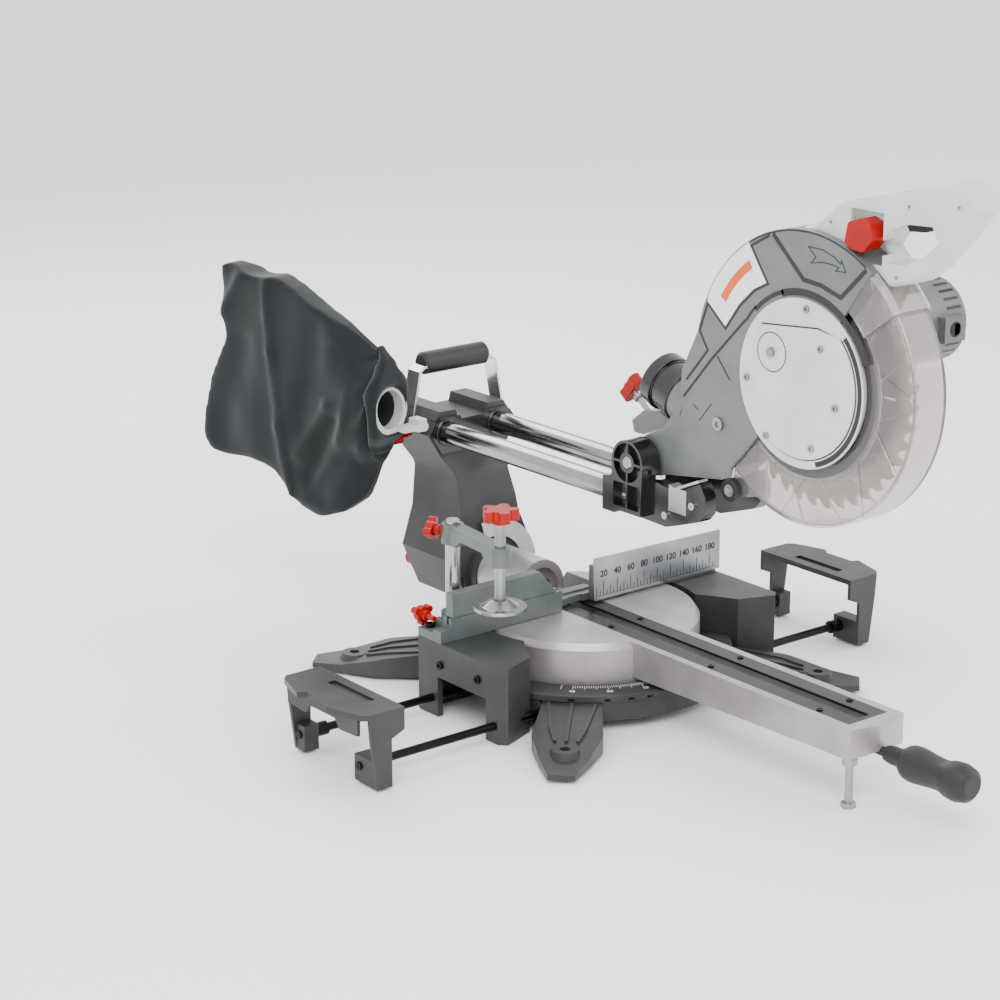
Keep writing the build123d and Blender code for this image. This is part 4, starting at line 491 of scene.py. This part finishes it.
def guardTrim():
    # dark stripes of painted shade in the grooves and the engraved direction arrow on the left of the fixed
    # guard, and its label
    size = dict(face=-0.026, sunk=0.00005, groove=0.0044, hub=0.00704, border=0.0026, fine=0.0015,
                line=0.0009, rim=0.0016, thick=0.0004)
    x = size["face"] + size["sunk"]
    panel = [(-0.305, 0.552), (-0.3480, 0.5140), (-0.3713, 0.5122), (-0.3979, 0.5047), (-0.4290, 0.5360)]
    border = [(-0.3005, 0.5500), (-0.2754, 0.5358), (-0.2999, 0.5020), (-0.2818, 0.4924), (-0.2614, 0.4732),
              (-0.2422, 0.4472), (-0.2157, 0.4687), (-0.2047, 0.4390), (-0.2173, 0.4206), (-0.1866, 0.3842)]
    sweep = [(-0.1830, 0.3659), (-0.2229, 0.4123), (-0.2668, 0.4574)]
    arrow = [(-0.3531, 0.5469), (-0.3718, 0.5466), (-0.3873, 0.5419), (-0.3962, 0.5365), (-0.3971, 0.5402),
             (-0.4030, 0.5297), (-0.3896, 0.5291), (-0.3942, 0.5327), (-0.3855, 0.5344), (-0.3724, 0.5347),
             (-0.3571, 0.5315), (-0.3634, 0.5381), (-0.3531, 0.5469)]
    # every stripe below is painted shade: the shadow inside a groove, the engraved arrow, the rim line and
    # the wide dark arc round the hub
    grooves = [
        (panel, "groove"), (border, "border"), (sweep + arc(0.0925, 147, 135, 6), "border"),
        (arc(0.0905, 137, 108), "groove"), (arc(0.0895, 110, 22), "hub"), (arc(0.1487, 58, 121), "rim"),
        ([(-0.2313, 0.4172), (-0.2501, 0.3962)], "fine"), ([(-0.1980, 0.3603), (-0.2053, 0.3560)], "line"),
        ([(-0.2245, 0.3663), (-0.2068, 0.3453)], "line"), (arrow, "line"),
    ]
    bm = bmesh.new()
    for points, width in grooves:
        sideRibbon(bm, points, size[width], x, size["thick"])
    keepPiece("guard_groove_shade", bm, "paintedShadeGrey", "head")

    bm = bmesh.new()
    label = [(-0.2760, 0.5345), (-0.2982, 0.5028), (-0.2804, 0.4937), (-0.2602, 0.4750), (-0.2420, 0.4495),
             (-0.2158, 0.4706)]
    sidePatch(bm, label + arc(0.1488, 154, 122), x, size["thick"])
    keepPiece("guard_label", bm, "labelWhite", "head")

    # plain orange stripe along the middle of the label
    bm = bmesh.new()
    sidePatch(bm, arc(0.1335, 125, 150) + arc(0.1245, 150, 125), x - size["thick"], size["thick"] / 2)
    keepPiece("label_stripe", bm, "labelOrange", "head")


def guardWindow():
    # clear front hood that closes the fixed guard above the moving one
    size = dict(outer=0.1498, inner=0.099, wall=0.0022, half=0.0255, corner=0.006, start=37, end=56,
                facets=3)
    bm = bmesh.new()
    rings = []
    for i in range(size["facets"] + 1):
        angle = size["start"] + (size["end"] - size["start"]) * i / size["facets"]
        outer = polar(size["outer"], angle)
        shoulder = polar(size["outer"] - size["corner"], angle)
        flat = size["half"] - size["corner"]
        ring = [(-size["half"], *polar(size["inner"], angle)), (-size["half"], *shoulder), (-flat, *outer),
                (flat, *outer), (size["half"], *shoulder)]
        rings.append([bm.verts.new(p) for p in ring])
    for a, b in zip(rings, rings[1:]):
        for i in range(len(a) - 1):
            bm.faces.new((a[i], a[i + 1], b[i + 1], b[i]))
    bmesh.ops.recalc_face_normals(bm, faces=bm.faces)
    bmesh.ops.solidify(bm, geom=bm.faces[:], thickness=size["wall"])
    keepPiece("guard_front_window", bm, "clearPolycarbonate", "head")


def movingGuardRibs():
    # slanted ribs and two rim beads moulded on the inside of the clear guard
    size = dict(ribWidth=0.0016, ribHeight=0.0014, inner=0.100, outer=0.139, first=-120, last=45, pitch=22,
                lean=9, bead=0.0022, beadsAt=(0.1405, 0.098), beadFrom=-132, beadTo=48, wall=0.0032)
    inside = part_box("lower_guard")[0].x + size["wall"] + size["ribHeight"]
    bm = bmesh.new()
    for angle in range(size["first"], size["last"], size["pitch"]):
        sideRibbon(bm, [polar(size["inner"], angle), polar(size["outer"], angle + size["lean"])],
                   size["ribWidth"], inside, size["ribHeight"])
    for radius in size["beadsAt"]:
        line = arc(radius, size["beadFrom"], size["beadTo"], 6)
        sideRibbon(bm, line, size["bead"], inside, size["ribHeight"])
    keepPiece("lower_guard_ribs", bm, "clearPolycarbonate", "moving_guard")


def plateOutline():
    # dark ribbons of painted shade: the shadow in the gap round the D-shaped side plate and in the recess in
    # front of it, and a dark line round the screw's washer
    size = dict(gap=0.0024, plateR=0.0742, recess=0.0052, recessR=0.0795, thick=0.0003, washer=0.0194,
                washerLine=0.0008, washerAt=(-0.312, 0.437))
    outside, face = (corner.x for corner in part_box("guard_side_plate"))
    edge = [(-0.2958, 0.4622), (-0.372, 0.4702), (-0.4042, 0.4632)] + arc(size["plateR"], 42, -146, 6)
    edge += [(-0.2858, 0.380), (-0.2958, 0.4622)]
    ring = circle(size["washerAt"], size["washer"], 48)
    bm = bmesh.new()
    # painted shadow in the gap along the side plate's edge
    sideRibbon(bm, edge, size["gap"], face, size["thick"])
    # painted shade in the recess in front of the plate
    sideRibbon(bm, arc(size["recessR"], 44, -72), size["recess"], face, size["thick"])
    sideRibbon(bm, ring + ring[:1], size["washerLine"], outside, size["thick"])
    keepPiece("side_plate_shadow", bm, "paintedShadeGrey", "head")


def rollerBolt():
    # hexagon bolt and washer that the roller turns on
    size = dict(washer=0.0062, washerThick=0.0012, bolt=0.0045, boltThick=0.0028)
    low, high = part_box("guard_roller")
    y, z = (low.y + high.y) / 2, (low.z + high.z) / 2
    bm = bmesh.new()
    addDisc(bm, (low.x, y, z), size["washer"], size["washerThick"], 32)
    addDisc(bm, (low.x - size["boltThick"] / 2, y, z), size["bolt"], size["boltThick"], 6)
    keepPiece("roller_bolt", bm, "zincPlate", "roller")


def housingFace():
    # black end plate on the rail housing, with a collar round each rail
    size = dict(front=0.200, thick=0.0012, sunk=0.0002, collar=0.0165, rail=0.0131, collarLong=0.0014,
                collarRound=0.0006, railX=0.037, railZ=0.249)
    outline = [(-0.046, 0.224), (-0.0615, 0.2485), (-0.0485, 0.2665), (-0.020, 0.2665), (-0.017, 0.262),
               (0.017, 0.262), (0.020, 0.2665), (0.0485, 0.2665), (0.0615, 0.2485), (0.046, 0.224)]
    railCentres = [(side * size["railX"], size["railZ"]) for side in (-1, 1)]
    around = 40
    plane = size["front"] - size["thick"]
    bm = bmesh.new()
    edges = []
    for loop in [outline] + [circle(centre, size["rail"], around) for centre in railCentres]:
        verts = [bm.verts.new((x, plane, z)) for x, z in loop]
        edges += [bm.edges.new((verts[i - 1], verts[i])) for i in range(len(verts))]
    filled = bmesh.ops.triangle_fill(bm, use_beauty=True, use_dissolve=False, edges=edges)
    faces = [f for f in filled["geom"] if isinstance(f, bmesh.types.BMFace)]
    extrudeFaces(bm, faces, (0, size["thick"] - size["sunk"], 0))
    # collar's section: radius, and distance along the rail
    section = [(size["rail"], 0), (size["collar"], 0),
               (size["collar"], size["collarRound"] - size["collarLong"]),
               (size["collar"] - size["collarRound"], -size["collarLong"]),
               (size["rail"], -size["collarLong"])]
    for centre in railCentres:
        rings = [[bm.verts.new((x, plane + y, z)) for x, z in circle(centre, radius, around)]
                 for radius, y in section]
        for a, b in zip(rings, rings[1:] + rings[:1]):
            for i in range(around):
                bm.faces.new((a[i - 1], a[i], b[i], b[i - 1]))
    bmesh.ops.recalc_face_normals(bm, faces=bm.faces)
    keepPiece("housing_face", bm, "enamelCharcoal", "column")


def footRibs():
    # raised ribs cast on top of each sloping foot
    size = dict(footX=0.182, footY=0.185, rootR=0.168, kneeR=0.2195, rootZ=0.0325, kneeZ=0.026, endR=0.243,
                endZ=0.0205, spreadRoot=0.025, spreadEnd=0.012, wide=0.0035, tall=0.0022, overlap=0.001)
    spreadKnee = (size["spreadRoot"] + size["spreadEnd"]) / 2
    bm = bmesh.new()
    for sx in (-1, 1):
        for sy in (-1, 1):
            outward = Matrix.Rotation(atan2(sy * size["footY"], sx * size["footX"]), 4, "Z")
            for side in (-1, 0, 1):
                root = Vector((size["rootR"], side * size["spreadRoot"], size["rootZ"]))
                knee = Vector((size["kneeR"], side * spreadKnee, size["kneeZ"]))
                end = Vector((size["endR"], side * size["spreadEnd"], size["endZ"]))
                for a, b in ((root, knee), (knee, end)):
                    run = b - a
                    tilt = Vector((1, 0, 0)).rotation_difference(run).to_matrix().to_4x4()
                    bar = (run.length + size["overlap"], size["wide"], size["tall"] * 2)
                    addBar(bm, outward @ ((a + b) / 2), bar, outward @ tilt)
    keepPiece("foot_ribs", bm, "powderCoatGrey", "base")


def motorVents():
    # black bars as painted shade for the vent slots round the rear of the motor case, and a dark band where
    # its two halves meet
    size = dict(slots=28, slotWide=0.0032, slotLong=0.020, sunk=0.0012, proud=0.0004, slotX=0.160,
                bandX=0.112, bandWide=0.0016)
    axisY, axisZ = [(a + b) / 2 for a, b in zip(*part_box("motor_stator"))][1:]
    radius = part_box("motor_housing")[1].z - axisZ
    slot = (size["slotLong"], size["slotWide"], 2 * size["sunk"] + size["proud"])
    bm = bmesh.new()
    # each slot is a black bar standing for the shade inside a vent opening: painted shade
    for i in range(size["slots"]):
        turn = Matrix.Rotation(2 * pi * i / size["slots"], 4, "X")
        place = Matrix.Translation((size["slotX"], axisY, axisZ)) @ turn
        addBar(bm, place @ Vector((0, 0, radius - size["sunk"])), slot, turn)
    addDisc(bm, (size["bandX"], axisY, axisZ), radius + size["proud"], size["bandWide"], 96)
    keepPiece("motor_vent_shade_and_seam", bm, "mouldedAbsBlack", "head")


housingFace()
footRibs()
motorVents()
plateOutline()
rollerBolt()
guardTrim()
guardWindow()
movingGuardRibs()
print("guard trimmed")


# the bag's own axes: u runs back from the neck, z up, x across
bagSize = dict(neckX=-0.120, neckY=0.245, turn=12, voxel=0.0065, slabHalf=0.018, neckHalf=0.031,
               neckShift=0.007, neckFrom=-0.005, neckTo=0.065, ringZ=0.282, gatherFrom=0.024,
               gatherTo=0.060, gather=0.82, heldTo=-0.018, pressure=2.4, cap=0.019, frames=24,
               ripple=0.003, ripplesBack=24, ripplesUp=15, mouth=0.021, mouthDepth=0.045,
               mouthFront=0.012, mouthAt=(-0.104, 0.218, 0.282), mouthAxis=(-0.2, 0.92, -0.1))
bagOutline = [(-0.035, 0.254), (-0.036, 0.300), (-0.033, 0.340), (-0.012, 0.364), (0.034, 0.390),
              (0.077, 0.407), (0.110, 0.423), (0.137, 0.433), (0.158, 0.430), (0.176, 0.430),
              (0.196, 0.438), (0.211, 0.441), (0.222, 0.435), (0.226, 0.418), (0.227, 0.380),
              (0.222, 0.360), (0.221, 0.348), (0.232, 0.328), (0.248, 0.295), (0.260, 0.257),
              (0.266, 0.221), (0.256, 0.202), (0.230, 0.197), (0.190, 0.200), (0.152, 0.193),
              (0.129, 0.173), (0.103, 0.153), (0.077, 0.145), (0.047, 0.154), (0.022, 0.174),
              (0.008, 0.202), (-0.004, 0.232), (-0.020, 0.236)]
# seams and taut folds: from, to, height and half width
bagRidges = [
    ((0.137, 0.439), (0.130, 0.330), 0.0045, 0.0055), ((0.130, 0.330), (0.121, 0.242), 0.0045, 0.0055),
    ((0.121, 0.242), (0.101, 0.150), 0.0045, 0.0055), ((0.160, 0.436), (0.222, 0.348), 0.0050, 0.006),
    ((-0.010, 0.306), (0.044, 0.280), 0.0045, 0.0065), ((0.044, 0.280), (0.092, 0.214), 0.0045, 0.0065),
    ((-0.030, 0.322), (-0.004, 0.226), 0.0040, 0.006), ((-0.034, 0.338), (0.020, 0.330), 0.0040, 0.006),
    ((0.010, 0.300), (0.026, 0.236), 0.0035, 0.006), ((0.060, 0.160), (0.100, 0.162), 0.0035, 0.006),
    ((0.180, 0.330), (0.215, 0.215), -0.0050, 0.020), ((0.060, 0.370), (0.090, 0.260), -0.0055, 0.018),
    ((0.034, 0.262), (0.074, 0.190), -0.0060, 0.010), ((0.190, 0.430), (0.222, 0.380), -0.0050, 0.012),
]


def ease(value, low, high):
    # 0 below low, 1 above high and smooth in between
    share = min(max((value - low) / (high - low), 0), 1)
    return share * share * (3 - 2 * share)


def sewPouch():
    # flat pouch as it is sewn, wider round the spigot, in an even mesh
    bm = bmesh.new()
    face = bm.faces.new([bm.verts.new((-1, u, z)) for u, z in bagOutline])
    extrudeFaces(bm, [face], (2, 0, 0))
    for v in bm.verts:
        v.co.x *= bagSize["neckHalf"]
    mesh = bpy.data.meshes.new("bagCloth")
    bm.to_mesh(mesh)
    bm.free()
    pouch = bpy.data.objects.new("dust_bag_cloth", mesh)
    bpy.context.scene.collection.objects.link(pouch)
    bpy.context.view_layer.objects.active = pouch
    remesh = pouch.modifiers.new("evenMesh", "REMESH")
    remesh.mode = "VOXEL"
    remesh.voxel_size = bagSize["voxel"]
    bpy.ops.object.modifier_apply(modifier=remesh.name)
    for v in pouch.data.vertices:
        body = ease(v.co.y, bagSize["neckFrom"], bagSize["neckTo"])
        # pinched thin above and below the ring
        gather = ease(abs(v.co.z - bagSize["ringZ"]), bagSize["gatherFrom"], bagSize["gatherTo"])
        neck = bagSize["neckHalf"] * (1 - bagSize["gather"] * gather)
        half = neck + (bagSize["slabHalf"] - neck) * body
        v.co.x = v.co.x * half / bagSize["neckHalf"] + bagSize["neckShift"] * (1 - body)
    return pouch


def fillPouch(pouch):
    # cloth simulation: slack cloth, a little air, held round the spigot
    rest = [v.co.copy() for v in pouch.data.vertices]
    held = pouch.vertex_groups.new(name="held")
    held.add([i for i, co in enumerate(rest) if co.y < bagSize["heldTo"]], 1.0, "REPLACE")
    cloth = pouch.modifiers.new("cloth", "CLOTH")
    cloth.settings.vertex_group_mass = "held"
    cloth.settings.quality = 7
    cloth.settings.mass = 0.25
    cloth.settings.tension_stiffness = 12
    cloth.settings.compression_stiffness = 4
    cloth.settings.bending_stiffness = 0.15
    cloth.settings.use_pressure = True
    cloth.settings.uniform_pressure_force = bagSize["pressure"]
    cloth.settings.shrink_min = -0.08
    cloth.settings.effector_weights.gravity = 0.35
    cloth.point_cache.frame_start = 1
    cloth.point_cache.frame_end = bagSize["frames"]
    for step in range(1, bagSize["frames"] + 1):
        bpy.context.scene.frame_set(step)
    bpy.ops.object.modifier_apply(modifier=cloth.name)
    bpy.context.scene.frame_set(1)
    for v, co in zip(pouch.data.vertices, rest):  # no point moves further than the cap
        step = v.co - co
        if step.length > bagSize["cap"]:
            v.co = co + step.normalized() * bagSize["cap"]


def creasePouch(pouch):
    # raises the seams and folds on both sides, with faint ripples between them
    for v in pouch.data.vertices:
        side = 1 if v.co.x > bagSize["neckShift"] / 2 else -1
        here = Vector((v.co.y, v.co.z))
        for start, end, height, width in bagRidges:
            a, b = Vector(start), Vector(end)
            share = min(max((here - a).dot(b - a) / (b - a).length_squared, 0), 1)
            gap = (here - a - (b - a) * share).length
            v.co.x += side * height * exp(-(gap / width) ** 2)
        spot = Vector((v.co.y * bagSize["ripplesBack"], v.co.z * bagSize["ripplesUp"], side))
        v.co.x += side * bagSize["ripple"] * noise.noise(spot)


def openMouth(pouch):
    # tucks the cloth in front of the spigot into its bore
    axis = Vector(bagSize["mouthAxis"]).normalized()
    centre = Vector(bagSize["mouthAt"])
    inner, outer = bagSize["mouth"] * 0.8, bagSize["mouth"] * 1.25
    for v in pouch.data.vertices:
        along = (v.co - centre).dot(axis)
        away = (v.co - centre - axis * along).length
        if along < bagSize["mouthFront"] and away < outer:
            v.co += axis * bagSize["mouthDepth"] * (1 - ease(away, inner, outer))


def dustBag():
    pouch = sewPouch()
    fillPouch(pouch)
    creasePouch(pouch)
    place = Matrix.Translation((bagSize["neckX"], bagSize["neckY"], 0))
    pouch.data.transform(place @ Matrix.Rotation(radians(bagSize["turn"]), 4, "Z"))
    openMouth(pouch)
    pouch.vertex_groups.clear()
    for polygon in pouch.data.polygons:
        polygon.use_smooth = True
    smooth = pouch.modifiers.new("softCloth", "SUBSURF")
    smooth.levels = 1
    smooth.render_levels = 1
    pouch.data.materials.append(materials["wovenPolyester"])
    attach(pouch, "column")
    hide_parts("dust_bag")


dustBag()
print("bag made")


# floor, light and camera

def stageAndLight():
    size = dict(floor=40.0, worldStrength=1.85)
    bm = bmesh.new()
    bmesh.ops.create_grid(bm, x_segments=1, y_segments=1, size=size["floor"] / 2)
    mesh = bpy.data.meshes.new("studioFloor")
    bm.to_mesh(mesh)
    bm.free()
    floor = bpy.data.objects.new("studioFloor", mesh)
    bpy.context.scene.collection.objects.link(floor)
    material, tree, shader, where = newMaterial("paleFloor", {"Base Color": linearColour("#fbfbfb")})
    gloss(tree, shader, where, 0.55, 0.65, 300)
    mesh.materials.append(material)
    world = bpy.data.worlds.new("softStudio")
    world.use_nodes = True
    background = world.node_tree.nodes["Background"]
    background.inputs["Color"].default_value = linearColour("#f4f5f7")
    background.inputs["Strength"].default_value = size["worldStrength"]
    bpy.context.scene.world = world
    lamps = {
        # name: (where, towards, size, watts)
        "keyLamp": ((-1.3, -1.6, 2.2), (0, -0.1, 0.3), 1.6, 60),
        "fillLamp": ((1.8, -1.4, 1.4), (0, -0.2, 0.3), 1.4, 20),
        "rimLamp": ((0.4, 1.9, 1.8), (0, 0, 0.35), 1.5, 36),
    }
    for name, (spot, aim, side, watts) in lamps.items():
        light = bpy.data.lights.new(name, "AREA")
        light.size = side
        light.energy = watts
        lamp = bpy.data.objects.new(name, light)
        lamp.location = spot
        lamp.rotation_euler = (Vector(aim) - Vector(spot)).to_track_quat("-Z", "Y").to_euler()
        bpy.context.scene.collection.objects.link(lamp)


def viewCamera():
    # stands off the left front corner, a little above the head
    size = dict(azimuth=-38.5, elevation=16.7, distance=2.85, lens=93.24, sensor=36.0,
                aim=(0.0, -0.030, 0.085), right=0.03938, up=-0.04363)
    turn, lift = radians(-size["azimuth"]), radians(size["elevation"])
    forward = Vector((sin(turn) * cos(lift), cos(turn) * cos(lift), -sin(lift)))
    right = forward.cross(Vector((0, 0, 1))).normalized()
    up = right.cross(forward)
    heading = forward + right * size["right"] + up * size["up"]
    data = bpy.data.cameras.new("viewCamera")
    data.lens = size["lens"]
    data.sensor_width = size["sensor"]
    camera = bpy.data.objects.new("viewCamera", data)
    camera.location = Vector(size["aim"]) - heading * size["distance"]
    camera.rotation_euler = forward.to_track_quat("-Z", "Y").to_euler()
    bpy.context.scene.collection.objects.link(camera)
    bpy.context.scene.camera = camera


stageAndLight()
viewCamera()
print("stage ready")
